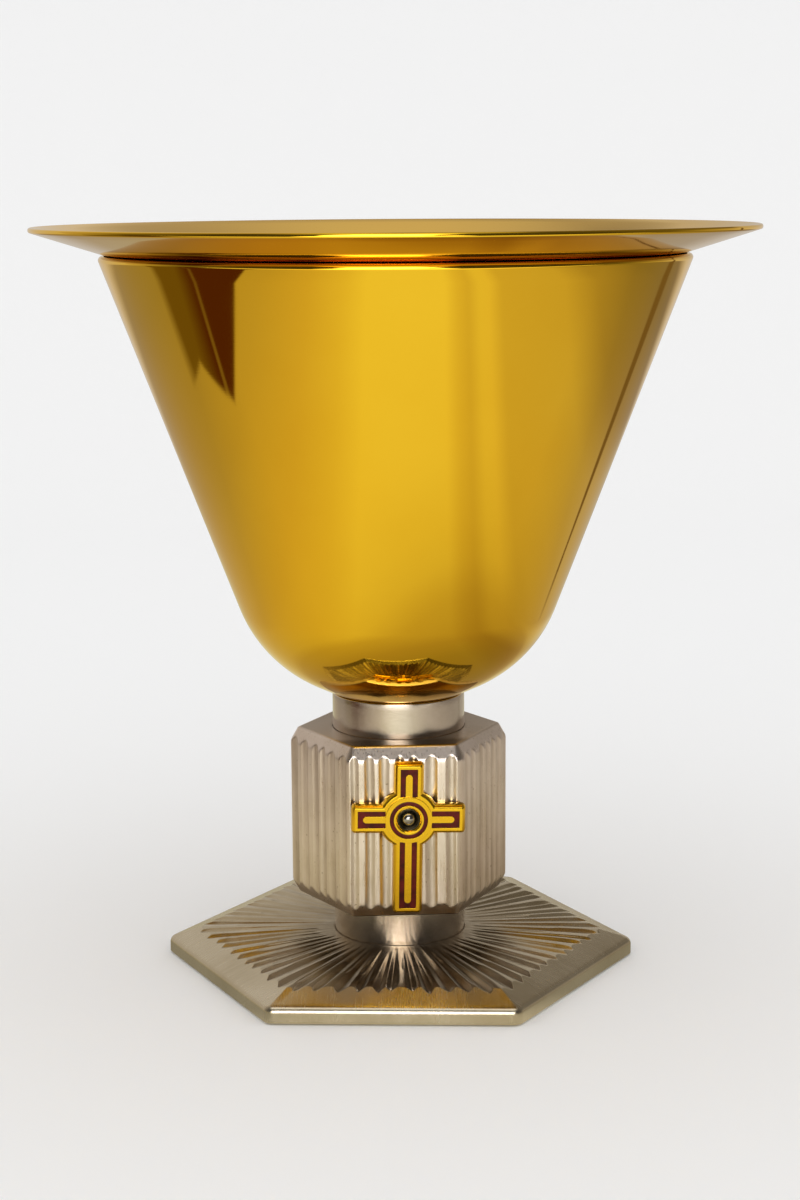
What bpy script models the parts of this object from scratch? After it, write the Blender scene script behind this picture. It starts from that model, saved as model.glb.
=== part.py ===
"""Table-top baptismal font: a flanged water basin that lifts out of a spun cup.

The cup stands on two collars, a hexagonal fluted knop and a hexagonal foot, all clamped by one tie rod.
Units are metres. +Z is up, the origin is on the table under the font's axis, and the cross faces -Y.
"""
import math
import random

import bmesh
import bpy
from mathutils import Matrix, Vector

GAP = 0.0003                    # clearance between pieces that rest on or fit in each other
COS_30 = math.cos(math.radians(30))

ARC_TOLERANCE = 0.00008         # how far a faceted rounding may stray from its true arc

# Foot
FELT_PROUD = 0.0005             # the felt strip stands this far below the metal rim
FELT_THICKNESS = 0.0012
FELT_OUTER, FELT_INNER = 0.0622, 0.0554         # apothems of the felt strip
BASE_CORNER = 0.0744            # centre to corner
BASE_EDGE_TOP = 0.0052          # top of the upright edge
BORDER_INNER = 0.0568           # apothem where the plain border meets the gouged field
BORDER_TOP = 0.0079
FIELD_RISE = 0.0445             # slope of the gouged field
BASE_RIM_INNER = 0.053          # apothem of the hollow underneath
BASE_CEILING_EDGE = 0.0034
BASE_CEILING = 0.0066
BASE_TURN = math.radians(-5.6)  # the foot is clamped slightly turned against the knop
COLLAR_SEAT = 0.0089            # floor of the round recess under the lower collar
GOUGES = 48
GOUGE_START = 0.0215
GOUGE_RADIUS = 0.007
GOUGE_DEPTH = 0.0008
GOUGE_LENGTH = 0.032            # before each one is stretched to reach the border

# Collars
COLLAR_RADIUS = 0.0207
COLLAR_BORE = 0.0182
COLLAR_ROUNDING = 0.0004
SEAT_RADIUS = COLLAR_RADIUS + 0.0004
SEAT_DEPTH = 0.0005

# Knop
KNOP_CORNER = 0.0346            # centre to corner before rounding
KNOP_END_CORNER = 0.0318
KNOP_BOTTOM, KNOP_TOP = 0.0216, 0.0755
KNOP_CHAMFER = 0.0043
KNOP_ROUNDING = 0.0012
KNOP_CAVITY_CORNER = 0.028
KNOP_CAVITY_TOP = 0.0705
PLATE_CORNER = 0.0292
PLATE_THICKNESS = 0.0042
FLUTE_DEPTH = 0.0008
# Hand-cut flutes of the front three faces: millimetres from the face's middle, and width
FRONT_FLUTES = ((-15.5, 2.8), (-10.8, 3.2), (-6.3, 3.4), (-1.6, 3.0), (2.6, 3.0), (8.0, 3.9), (14.1, 3.4))
RIGHT_FLUTES = ((-12.9, 3.2), (-8.6, 3.4), (-2.1, 4.2), (2.5, 3.4), (6.4, 3.2), (10.5, 3.3), (15.2, 3.0))
LEFT_FLUTES = ((-14.2, 4.2), (-8.2, 4.4), (-1.9, 3.8), (2.5, 3.4), (7.7, 4.2), (14.0, 4.2))
FLUTES_PER_FACE = 7             # on the other faces

# Cup and basin
BOWL_STEPS = 52                 # facets round the large turned pieces
CUP_THICKNESS = 0.0012
WALL_ANGLE = math.radians(20.6)         # from the vertical
FOOT_ANGLE = math.radians(25.9)         # from the horizontal
CUP_LIP_RADIUS = 0.0899
CUP_LIP_TOP = 0.2222
CUP_FOOT_RADIUS = 0.0209
CUP_FOOT_BOTTOM = 0.0870
CUP_FOOT_ROUNDING = 0.0433
BASIN_THICKNESS = 0.0015
RIM_RADIUS = 0.110
RIM_TOP = 0.2311
NECK_RADIUS = 0.0880
NECK_BOTTOM = CUP_LIP_TOP + GAP
BASIN_BOTTOM = 0.104
BASIN_ROUNDING = 0.038

# Tie rod and its fastenings
ROD_RADIUS = 0.003
ROD_HOLE = ROD_RADIUS + GAP
ROD_BOTTOM, ROD_TOP = 0.0006, 0.0836
BOSS_RADIUS = 0.0178
BOSS_BOTTOM = 0.0785
DISC_RADIUS = 0.0179
DISC_THICKNESS = 0.002
NUT_CORNER = 0.01 / 2 / COS_30
NUT_HEIGHT = 0.0032

# Cross on the knop's front face
CROSS_OFFSET = 0.0008
CROSS_HEIGHT = 0.0538           # height of the ring's centre
CROSS_TILT = math.radians(1.1)
CROSS_BACK = KNOP_CORNER * COS_30 + GAP
CROSS_STEP = 0.0012             # upright part of the side wall
CROSS_THICKNESS = 0.0034
ARM_HALF = 0.0046               # half-width at the back
ARM_DRAFT = 0.0012              # the side walls lean in by this much
ARM_TOP, ARM_BOTTOM, ARM_SIDE = 0.0176, 0.0298, 0.0174
WEB_RADIUS = 0.0094
RING_RADIUS = 0.0071
RING_HEIGHT = 0.0006
ENAMEL_RING = (0.0046, 0.00575)
ENAMEL_HALF, TONGUE_HALF = 0.0026, 0.00105
ENAMEL_START = 0.0076
ENAMEL_MARGIN = 0.002           # from the arm's end to the enamel
ENAMEL_DEPTH = 0.0008
SETTING_RADIUS = 0.0034
STONE_RADIUS = 0.0019
STUD_RADIUS = 0.001
STUD_HEIGHTS = {"upper": 0.012, "lower": -0.020}


# ---------------------------------------------------------------- scene and materials

def clear_scene():
    for item in list(bpy.data.objects):
        bpy.data.objects.remove(item, do_unlink=True)


def new_collection(name):
    collection = bpy.data.collections.new(name)
    bpy.context.scene.collection.children.link(collection)
    return collection


def metal(name, colour, roughness, metallic=1.0):
    material = bpy.data.materials.new(name)
    material.use_nodes = True
    shader = material.node_tree.nodes["Principled BSDF"]
    shader.inputs["Base Color"].default_value = (*colour, 1.0)
    shader.inputs["Roughness"].default_value = roughness
    shader.inputs["Metallic"].default_value = metallic
    return material


def add_object(name, mesh, colour, roughness, metallic=1.0, parent=None):
    piece = bpy.data.objects.new(name, mesh)
    PARTS.objects.link(piece)
    mesh.materials.append(metal(name + "_surface", colour, roughness, metallic))
    piece.parent = parent
    return piece


def add_cutter(name, mesh, parent=None):
    cutter = bpy.data.objects.new(name, mesh)
    CUTTERS.objects.link(cutter)
    cutter.hide_render = True
    cutter.display_type = "WIRE"
    cutter.parent = parent
    return cutter


def add_frame(name, location=(0, 0, 0), rotation=(0, 0, 0)):
    frame = bpy.data.objects.new(name, None)
    PARTS.objects.link(frame)
    frame.location = location
    frame.rotation_euler = rotation
    return frame


# ---------------------------------------------------------------- shapes

def rounded_path(corners, closed=False):
    """Points of a line whose corners (r, z, rounding) are rounded by arcs."""
    points = []
    for i, (r, z, rounding) in enumerate(corners):
        corner = Vector((r, z))
        at_end = not closed and i in (0, len(corners) - 1)
        if rounding == 0 or at_end:
            points.append(corner)
            continue
        before = (Vector(corners[i - 1][:2]) - corner).normalized()
        after = (Vector(corners[(i + 1) % len(corners)][:2]) - corner).normalized()
        half = before.angle(after) / 2
        centre = corner + (before + after).normalized() * rounding / math.sin(half)
        start = corner + before * rounding / math.tan(half) - centre
        end = corner + after * rounding / math.tan(half) - centre
        sweep = math.atan2(start.x * end.y - start.y * end.x, start.dot(end))
        steps = max(2, math.ceil(abs(sweep) / (2 * math.acos(1 - ARC_TOLERANCE / rounding))))
        for k in range(steps + 1):
            points.append(centre + Matrix.Rotation(sweep * k / steps, 2) @ start)
    return points


def line_mesh(name, points, closed):
    edges = [(i, i + 1) for i in range(len(points) - 1)]
    if closed:
        edges.append((len(points) - 1, 0))
    mesh = bpy.data.meshes.new(name)
    mesh.from_pydata([(p[0], 0, p[1]) for p in points], edges, [])
    return mesh


def turn(piece, steps, smooth=True):
    """Screw the piece's outline through a full turn about Z; six steps give a hexagon."""
    screw = piece.modifiers.new("turn", "SCREW")
    screw.steps = steps
    screw.render_steps = steps
    screw.use_merge_vertices = True
    screw.merge_threshold = 0.00001
    screw.use_smooth_shade = smooth


def lathe(name, points, steps, look, closed=False, parent=None):
    piece = add_object(name, line_mesh(name, points, closed), *look, parent=parent)
    turn(piece, steps)
    return piece


def lathe_cutter(name, points, steps, closed=False, parent=None):
    cutter = add_cutter(name, line_mesh(name, points, closed), parent)
    turn(cutter, steps, smooth=False)
    return cutter


def ring_outline(inner, outer, low, high, rounding=0.0):
    corners = [(outer, high, rounding), (outer, low, rounding), (inner, low, 0), (inner, high, 0)]
    return rounded_path(corners, closed=True)


def disc_outline(radius, low, high):
    return [(0, high), (radius, high), (radius, low), (0, low)]


def subtract(piece, cutter, crossing=False):
    """Cut the piece; crossing is for a cutter whose own bodies run into each other."""
    cut = piece.modifiers.new("cut_" + cutter.name, "BOOLEAN")
    cut.operation = "DIFFERENCE"
    cut.solver = "EXACT"
    cut.use_self = crossing
    cut.object = cutter


def round_edges(piece, width, segments, angle):
    bevel = piece.modifiers.new("rounding", "BEVEL")
    bevel.width = width
    bevel.segments = segments
    bevel.limit_method = "ANGLE"
    bevel.angle_limit = math.radians(angle)


def joined_copies(name, source, matrices):
    """One mesh that holds a copy of the source bmesh for each matrix."""
    mesh = bpy.data.meshes.new(name)
    joined = bmesh.new()
    for matrix in matrices:
        copy = source.copy()
        bmesh.ops.transform(copy, matrix=matrix, verts=copy.verts)
        single = bpy.data.meshes.new("single")
        copy.to_mesh(single)
        copy.free()
        joined.from_mesh(single)
        bpy.data.meshes.remove(single)
    joined.to_mesh(mesh)
    joined.free()
    return mesh


def cylinder_bmesh(radius, length, segments):
    """A cylinder about Z, centred on the origin."""
    shape = bmesh.new()
    bmesh.ops.create_cone(
        shape, cap_ends=True, segments=segments, radius1=radius, radius2=radius, depth=length)
    return shape


def to_mesh(shape, name):
    mesh = bpy.data.meshes.new(name)
    shape.to_mesh(mesh)
    shape.free()
    return mesh


def plate_mesh(name, outline, front, back):
    """A flat plate in the XZ plane between y = -front and y = -back."""
    shape = bmesh.new()
    verts = [shape.verts.new((x, -back, z)) for x, z in outline]
    face = shape.faces.new(verts)
    grown = bmesh.ops.extrude_face_region(shape, geom=[face])
    moved = [v for v in grown["geom"] if isinstance(v, bmesh.types.BMVert)]
    bmesh.ops.translate(shape, verts=moved, vec=(0, back - front, 0))
    bmesh.ops.recalc_face_normals(shape, faces=shape.faces)
    return to_mesh(shape, name)


# ---------------------------------------------------------------- looks: colour, roughness, metallic

GOLD = ((0.83, 0.52, 0.06), 0.08)
NICKEL = ((0.52, 0.47, 0.37), 0.38)
STEEL = ((0.45, 0.45, 0.46), 0.35)
ENAMEL = ((0.16, 0.01, 0.01), 0.12, 0.0)
DARK_SILVER = ((0.09, 0.085, 0.07), 0.25)
POLISHED_STONE = ((0.20, 0.19, 0.18), 0.06)
FELT = ((0.05, 0.10, 0.06), 0.95, 0.0)


# ---------------------------------------------------------------- cup and basin

def cup_outline():
    """Outer side of the cup from the lip down to the centre of its flat foot."""
    wall = math.tan(WALL_ANGLE)
    foot = math.tan(FOOT_ANGLE)
    drop = CUP_LIP_TOP - CUP_FOOT_BOTTOM
    corner_r = (CUP_LIP_RADIUS - wall * (drop + foot * CUP_FOOT_RADIUS)) / (1 - wall * foot)
    corner_z = CUP_FOOT_BOTTOM + foot * (corner_r - CUP_FOOT_RADIUS)
    return rounded_path([
        (CUP_LIP_RADIUS - 0.0018, CUP_LIP_TOP, 0),
        (CUP_LIP_RADIUS, CUP_LIP_TOP, 0.0012),
        (corner_r, corner_z, CUP_FOOT_ROUNDING),
        (CUP_FOOT_RADIUS, CUP_FOOT_BOTTOM, 0.0006),
        (0, CUP_FOOT_BOTTOM, 0)])


def build_cup():
    cup = lathe("cup", cup_outline(), BOWL_STEPS, GOLD)
    shell = cup.modifiers.new("sheet", "SOLIDIFY")
    shell.thickness = CUP_THICKNESS
    shell.offset = -1


def build_basin():
    wall = math.tan(WALL_ANGLE)
    side = BASIN_THICKNESS / math.cos(WALL_ANGLE)       # the sheet measured level across the wall
    flange_angle = math.atan2(RIM_TOP - BASIN_THICKNESS - NECK_BOTTOM, RIM_RADIUS - NECK_RADIUS)
    edge = BASIN_THICKNESS / math.cos(flange_angle)     # the sheet measured upright across the flange
    rise = (RIM_TOP - edge - NECK_BOTTOM) / (RIM_RADIUS - NECK_RADIUS)
    inner_neck = NECK_RADIUS + (wall * edge - side) / (1 - wall * rise)
    inner_neck_height = NECK_BOTTOM + edge + rise * (inner_neck - NECK_RADIUS)
    floor = BASIN_BOTTOM + BASIN_THICKNESS
    outer_corner = NECK_RADIUS - wall * (NECK_BOTTOM - BASIN_BOTTOM)
    inner_corner = inner_neck - wall * (inner_neck_height - floor)
    outline = rounded_path([
        (0, floor, 0),
        (inner_corner, floor, BASIN_ROUNDING - BASIN_THICKNESS),
        (inner_neck, inner_neck_height, 0.0025),
        (RIM_RADIUS, RIM_TOP, 0.0006),
        (RIM_RADIUS, RIM_TOP - edge, 0.0006),
        (NECK_RADIUS, NECK_BOTTOM, 0.001),
        (outer_corner, BASIN_BOTTOM, BASIN_ROUNDING),
        (0, BASIN_BOTTOM, 0)])
    lathe("basin", outline, BOWL_STEPS, GOLD)


def build_cup_boss():
    boss = [
        (0, CUP_FOOT_BOTTOM - GAP), (BOSS_RADIUS, CUP_FOOT_BOTTOM - GAP),
        (BOSS_RADIUS, BOSS_BOTTOM), (ROD_HOLE, BOSS_BOTTOM),
        (ROD_HOLE, ROD_TOP + GAP), (0, ROD_TOP + GAP)]
    lathe("cup_boss", boss, 32, NICKEL)


# ---------------------------------------------------------------- collars and their centring discs

def build_collars():
    knop_seat = KNOP_TOP - SEAT_DEPTH
    stacks = {
        "upper": (knop_seat + GAP, CUP_FOOT_BOTTOM - GAP),
        "lower": (COLLAR_SEAT + GAP, KNOP_BOTTOM - GAP),
    }
    for place, (low, high) in stacks.items():
        collar = ring_outline(COLLAR_BORE, COLLAR_RADIUS, low, high, COLLAR_ROUNDING)
        lathe(place + "_collar", collar, 48, NICKEL, closed=True)
        disc = ring_outline(ROD_HOLE, DISC_RADIUS, low, low + DISC_THICKNESS)
        lathe(place + "_centring_disc", disc, 32, STEEL, closed=True)


# ---------------------------------------------------------------- knop

def flute_layout():
    """(face, offset, width) of every flute, the faces counted anticlockwise from the front."""
    chance = random.Random(11)
    layout = []
    for face, flutes in ((0, FRONT_FLUTES), (1, RIGHT_FLUTES), (5, LEFT_FLUTES)):
        layout += [(face, offset * 0.001, width * 0.001) for offset, width in flutes]
    pitch = (KNOP_CORNER - 0.002) / FLUTES_PER_FACE
    for face in (2, 3, 4):
        for i in range(FLUTES_PER_FACE):
            offset = (i - (FLUTES_PER_FACE - 1) / 2) * pitch + chance.uniform(-0.0004, 0.0004)
            layout.append((face, offset, chance.uniform(0.0028, 0.0036)))
    return layout


def flute_cutters():
    apothem = KNOP_CORNER * COS_30
    length = KNOP_TOP - KNOP_BOTTOM + 0.02
    middle = (KNOP_TOP + KNOP_BOTTOM) / 2
    joined = bmesh.new()
    for face, offset, width in flute_layout():
        radius = (width * width / 4 + FLUTE_DEPTH ** 2) / (2 * FLUTE_DEPTH)
        place = (
            Matrix.Rotation(math.radians(60 * face), 4, "Z")
            @ Matrix.Translation((offset, -(apothem + radius - FLUTE_DEPTH), middle)))
        bmesh.ops.create_cone(
            joined, cap_ends=True, segments=14, radius1=radius, radius2=radius,
            depth=length, matrix=place)
    return add_cutter("flute_cutters", to_mesh(joined, "flute_cutters"))


def build_knop(cross_frame):
    end = KNOP_END_CORNER
    side = KNOP_CORNER
    outline = [
        (0, KNOP_TOP), (end, KNOP_TOP), (side, KNOP_TOP - KNOP_CHAMFER),
        (side, KNOP_BOTTOM + KNOP_CHAMFER), (end, KNOP_BOTTOM), (0, KNOP_BOTTOM)]
    knop = lathe("knop_shell", outline, 6, NICKEL)
    round_edges(knop, KNOP_ROUNDING, 2, 40)
    subtract(knop, flute_cutters())
    plate_top = KNOP_BOTTOM + PLATE_THICKNESS
    ledge = plate_top + GAP
    cavity = [
        (0, KNOP_CAVITY_TOP), (KNOP_CAVITY_CORNER, KNOP_CAVITY_TOP), (KNOP_CAVITY_CORNER, ledge),
        (PLATE_CORNER + GAP / COS_30, ledge), (PLATE_CORNER + GAP / COS_30, KNOP_BOTTOM - 0.002),
        (0, KNOP_BOTTOM - 0.002)]
    subtract(knop, lathe_cutter("knop_cavity", cavity, 6))
    seat = [
        (0, KNOP_TOP + 0.002), (SEAT_RADIUS, KNOP_TOP + 0.002),
        (SEAT_RADIUS, KNOP_TOP - SEAT_DEPTH), (0, KNOP_TOP - SEAT_DEPTH)]
    subtract(knop, lathe_cutter("knop_seat", seat, 48))
    subtract(knop, lathe_cutter("knop_bore", disc_outline(ROD_HOLE, 0.06, 0.08), 24))
    subtract(knop, stud_holes("knop_stud_holes", cross_frame))
    plate = lathe("knop_bottom_plate", disc_outline(PLATE_CORNER, KNOP_BOTTOM, plate_top), 6, NICKEL)
    subtract(plate, lathe_cutter("plate_bore", disc_outline(ROD_HOLE, 0.018, 0.03), 24))


# ---------------------------------------------------------------- foot

def gouge_blank():
    """One gouge's shape along +Z: a long cone that ends in a blunt round tip."""
    profile = [
        (0, GOUGE_LENGTH),
        (GOUGE_RADIUS * 0.85, GOUGE_LENGTH - 0.0005),
        (GOUGE_RADIUS, GOUGE_LENGTH - 0.003),
        (0.0006, 0),
        (0, 0)]
    blank = add_cutter("gouge_blank", line_mesh("gouge_blank", profile, False))
    turn(blank, 12, smooth=False)
    shape = bmesh.new()
    shape.from_object(blank, bpy.context.evaluated_depsgraph_get())
    return shape


def gouge_cutters(frame):
    """Tapered gouges from the collar out to the border, each sinking deeper as it widens."""
    chance = random.Random(5)
    blank = gouge_blank()
    matrices = []
    for i in range(GOUGES):
        angle = math.tau * (i + 0.5) / GOUGES + chance.uniform(-0.012, 0.012)
        depth = GOUGE_DEPTH * chance.uniform(0.8, 1.15)
        across = math.cos(angle % math.radians(60) - math.radians(30))
        run = BORDER_INNER / across - GOUGE_START
        start_height = BORDER_TOP + (BORDER_INNER - GOUGE_START * across) * FIELD_RISE + 0.0004
        end_height = BORDER_TOP + GOUGE_RADIUS - depth
        dip = math.atan2(start_height - end_height, run)
        matrices.append(
            Matrix.Rotation(angle, 4, "Z")
            @ Matrix.Translation((GOUGE_START, 0, start_height))
            @ Matrix.Rotation(math.pi / 2 + dip, 4, "Y")
            @ Matrix.Diagonal((1, 1, run / GOUGE_LENGTH, 1)))
    mesh = joined_copies("gouges", blank, matrices)
    blank.free()
    return add_cutter("gouges", mesh, frame)


def build_base(frame):
    metal_bottom = FELT_PROUD
    apex = BORDER_TOP + BORDER_INNER * FIELD_RISE
    outline = rounded_path([
        (0, apex, 0),
        (BORDER_INNER / COS_30, BORDER_TOP, 0),
        (BASE_CORNER, BASE_EDGE_TOP, 0.0012),
        (BASE_CORNER, metal_bottom, 0.0004),
        (0, metal_bottom, 0)])
    base = lathe("base_shell", outline, 6, NICKEL, parent=frame)
    round_edges(base, 0.002, 2, 50)
    subtract(base, gouge_cutters(frame), crossing=True)
    hollow = [
        (0, BASE_CEILING), (0.018 / COS_30, BASE_CEILING), (BASE_RIM_INNER / COS_30, BASE_CEILING_EDGE),
        (BASE_RIM_INNER / COS_30, -0.002), (0, -0.002)]
    subtract(base, lathe_cutter("base_hollow", hollow, 6, parent=frame))
    felt_top = FELT_THICKNESS + GAP
    rebate = ring_outline((FELT_INNER - GAP) / COS_30, (FELT_OUTER + GAP) / COS_30, -0.002, felt_top)
    subtract(base, lathe_cutter("felt_rebate", rebate, 6, closed=True, parent=frame))
    seat = disc_outline(SEAT_RADIUS, COLLAR_SEAT, 0.02)
    subtract(base, lathe_cutter("base_seat", seat, 48, parent=frame))
    subtract(base, lathe_cutter("base_bore", disc_outline(ROD_HOLE, -0.002, 0.02), 24, parent=frame))
    felt = ring_outline(FELT_INNER / COS_30, FELT_OUTER / COS_30, 0, FELT_THICKNESS)
    lathe("felt_pad", felt, 6, FELT, closed=True, parent=frame)


# ---------------------------------------------------------------- tie rod and fastenings

def build_tie_rod():
    lathe("tie_rod", disc_outline(ROD_RADIUS, ROD_BOTTOM, ROD_TOP), 24, STEEL)
    top = BASE_CEILING - GAP
    clamp = ring_outline(ROD_HOLE, 0.014, top - 0.001, top)
    lathe("clamp_washer", clamp, 32, STEEL, closed=True)
    top -= 0.001 + GAP
    lock = ring_outline(ROD_HOLE, 0.0055, top - 0.0008, top)
    lathe("lock_washer", lock, 24, STEEL, closed=True)
    top -= 0.0008 + GAP
    add_hex_nut("clamp_nut", NUT_CORNER, ROD_HOLE, NUT_HEIGHT, Matrix.Translation((0, 0, top - NUT_HEIGHT / 2)))


def add_hex_nut(name, corner, hole, height, place, parent=None):
    nut = add_object(name, to_mesh(cylinder_bmesh(corner, height, 6), name), *STEEL, parent=parent)
    nut.matrix_local = place
    bore = add_cutter(name + "_bore", to_mesh(cylinder_bmesh(hole, height * 2, 20), name + "_bore"), parent)
    bore.matrix_local = place
    subtract(nut, bore)


# ---------------------------------------------------------------- cross

def cross_outline():
    """Latin cross with arc webs between the arms, clockwise from the top arm's right side."""
    reach = {0: ARM_SIDE, 1: ARM_TOP, 2: ARM_SIDE, 3: ARM_BOTTOM}
    open_angle = math.asin(ARM_HALF / WEB_RADIUS)
    points = []
    for quarter in range(4):
        turn_by = Matrix.Rotation(quarter * math.pi / 2, 2)
        points.append(turn_by @ Vector((reach[quarter], -ARM_HALF)))
        points.append(turn_by @ Vector((reach[quarter], ARM_HALF)))
        for k in range(5):
            angle = open_angle + (math.pi / 2 - 2 * open_angle) * k / 4
            points.append(turn_by @ Vector((math.cos(angle), math.sin(angle))) * WEB_RADIUS)
    return points


def cross_mesh():
    shape = bmesh.new()
    verts = [shape.verts.new((x, 0, z)) for x, z in cross_outline()]
    face = shape.faces.new(verts)
    grown = bmesh.ops.extrude_face_region(shape, geom=[face])
    moved = [v for v in grown["geom"] if isinstance(v, bmesh.types.BMVert)]
    front = [f for f in grown["geom"] if isinstance(f, bmesh.types.BMFace)]
    bmesh.ops.translate(shape, verts=moved, vec=(0, -CROSS_STEP, 0))
    bmesh.ops.recalc_face_normals(shape, faces=shape.faces)
    bmesh.ops.inset_region(
        shape, faces=front, thickness=ARM_DRAFT, depth=CROSS_THICKNESS - CROSS_STEP, use_even_offset=True)
    return to_mesh(shape, "cross_body")


def enamel_outline(length, grow=0.0):
    """U channel along +Z, open towards the ring, with a round-ended tongue inside it."""
    start = ENAMEL_START - grow
    end = length - ENAMEL_MARGIN + grow
    outer = ENAMEL_HALF + grow
    inner = TONGUE_HALF - grow
    tip = length - ENAMEL_MARGIN - (ENAMEL_HALF - TONGUE_HALF) - inner - grow
    points = [(-outer, start), (-outer, end), (outer, end), (outer, start), (inner, start)]
    for k in range(7):
        angle = math.pi * k / 6
        points.append((inner * math.cos(angle), tip + inner * math.sin(angle)))
    points.append((-inner, start))
    return points


def y_axis_cylinder(radius, front, back, segments):
    shape = cylinder_bmesh(radius, front - back, segments)
    place = Matrix.Translation((0, -(front + back) / 2, 0)) @ Matrix.Rotation(math.pi / 2, 4, "X")
    bmesh.ops.transform(shape, matrix=place, verts=shape.verts)
    return shape


def stud_holes(name, cross_frame):
    source = y_axis_cylinder(STUD_RADIUS + GAP, 0.0013, -0.01, 16)
    matrices = [Matrix.Translation((0, 0, height)) for height in STUD_HEIGHTS.values()]
    mesh = joined_copies(name, source, matrices)
    source.free()
    return add_cutter(name, mesh, cross_frame)


def facing_lathe(name, points, steps, look, parent, closed=False):
    """A turned piece whose axis points out of the cross's face."""
    piece = lathe(name, points, steps, look, closed=closed, parent=parent)
    piece.rotation_euler = (math.pi / 2, 0, 0)
    return piece


def facing_cutter(name, points, steps, parent, closed=False):
    cutter = lathe_cutter(name, points, steps, closed=closed, parent=parent)
    cutter.rotation_euler = (math.pi / 2, 0, 0)
    return cutter


def build_cross(frame):
    face = CROSS_THICKNESS
    ring_face = face + RING_HEIGHT
    body = add_object("cross_body", cross_mesh(), *GOLD, parent=frame)
    subtract(body, stud_holes("body_stud_holes", frame))
    ring = facing_cutter("ring_blank", disc_outline(RING_RADIUS, CROSS_STEP, ring_face), 40, frame)
    union = body.modifiers.new("ring", "BOOLEAN")
    union.operation = "UNION"
    union.solver = "EXACT"
    union.object = ring
    arms = {"top": (ARM_TOP, 0), "right": (ARM_SIDE, 90), "bottom": (ARM_BOTTOM, 180), "left": (ARM_SIDE, 270)}
    for place, (length, angle) in arms.items():
        rotation = (0, math.radians(angle), 0)
        pocket = add_cutter(place + "_pocket", plate_mesh(
            place + "_pocket", enamel_outline(length, GAP), face + 0.002, face - ENAMEL_DEPTH - GAP), frame)
        pocket.rotation_euler = rotation
        subtract(body, pocket)
        name = "enamel_" + place + "_arm"
        enamel = add_object(name, plate_mesh(
            name, enamel_outline(length), face - 0.00005, face - ENAMEL_DEPTH), *ENAMEL, parent=frame)
        enamel.rotation_euler = rotation
    inner, outer = ENAMEL_RING
    channel = ring_outline(inner - GAP, outer + GAP, ring_face - ENAMEL_DEPTH - GAP, ring_face + 0.002)
    subtract(body, facing_cutter("ring_pocket", channel, 40, frame, closed=True))
    enamel = ring_outline(inner, outer, ring_face - ENAMEL_DEPTH, ring_face - 0.00005)
    facing_lathe("enamel_ring", enamel, 40, ENAMEL, frame, closed=True)
    pocket = disc_outline(SETTING_RADIUS + GAP, 0.0008, ring_face + 0.002)
    subtract(body, facing_cutter("setting_pocket", pocket, 32, frame))
    build_setting(frame, ring_face)


def build_setting(frame, ring_face):
    floor = 0.0011
    bowl = [
        (0, floor + 0.0008), (STONE_RADIUS + GAP, floor + 0.0008), (SETTING_RADIUS - 0.0003, ring_face - 0.0002),
        (SETTING_RADIUS, ring_face - 0.0002), (SETTING_RADIUS, floor), (0, floor)]
    facing_lathe("stone_setting", bowl, 32, DARK_SILVER, frame)
    seat = floor + 0.0008 + GAP
    height = 0.0014
    stone = [(0, seat + height)]
    for k in range(1, 6):
        angle = math.pi / 2 * (1 - k / 5)
        stone.append((STONE_RADIUS * math.cos(angle), seat + 0.0003 + (height - 0.0003) * math.sin(angle)))
    stone += [(STONE_RADIUS, seat), (0, seat)]
    facing_lathe("stone", stone, 24, POLISHED_STONE, frame)


def build_cross_fastenings(frame):
    """Two studs from blind holes in the cross through the knop's wall, each with a nut inside."""
    wall = CROSS_BACK - KNOP_CAVITY_CORNER * COS_30
    nut_height = 0.0016
    for place, height in STUD_HEIGHTS.items():
        shape = y_axis_cylinder(STUD_RADIUS, 0.001, -(wall + 0.0032), 16)
        stud = add_object("cross_stud_" + place, to_mesh(shape, "stud"), *STEEL, parent=frame)
        stud.location = (0, 0, height)
        spot = (
            Matrix.Translation((0, wall + GAP + nut_height / 2, height))
            @ Matrix.Rotation(math.pi / 2, 4, "X"))
        add_hex_nut("cross_nut_" + place, 0.0023, STUD_RADIUS + GAP, nut_height, spot, frame)


# ---------------------------------------------------------------- assembly

clear_scene()
PARTS = new_collection("baptismal_font")
CUTTERS = new_collection("cutters")

base_frame = add_frame("base_frame", rotation=(0, 0, BASE_TURN))
cross_frame = add_frame(
    "cross_frame", location=(CROSS_OFFSET, -CROSS_BACK, CROSS_HEIGHT), rotation=(0, CROSS_TILT, 0))
bpy.context.view_layer.update()

build_basin()
build_cup()
build_cup_boss()
build_collars()
build_knop(cross_frame)
build_base(base_frame)
build_tie_rod()
build_cross(cross_frame)
build_cross_fastenings(cross_frame)
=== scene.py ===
"""Looks of the table-top baptismal font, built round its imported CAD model. Units are metres, +Z is up."""

import math
import random

import bmesh
import bpy
import numpy as np
from mathutils import Matrix, Vector


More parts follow.
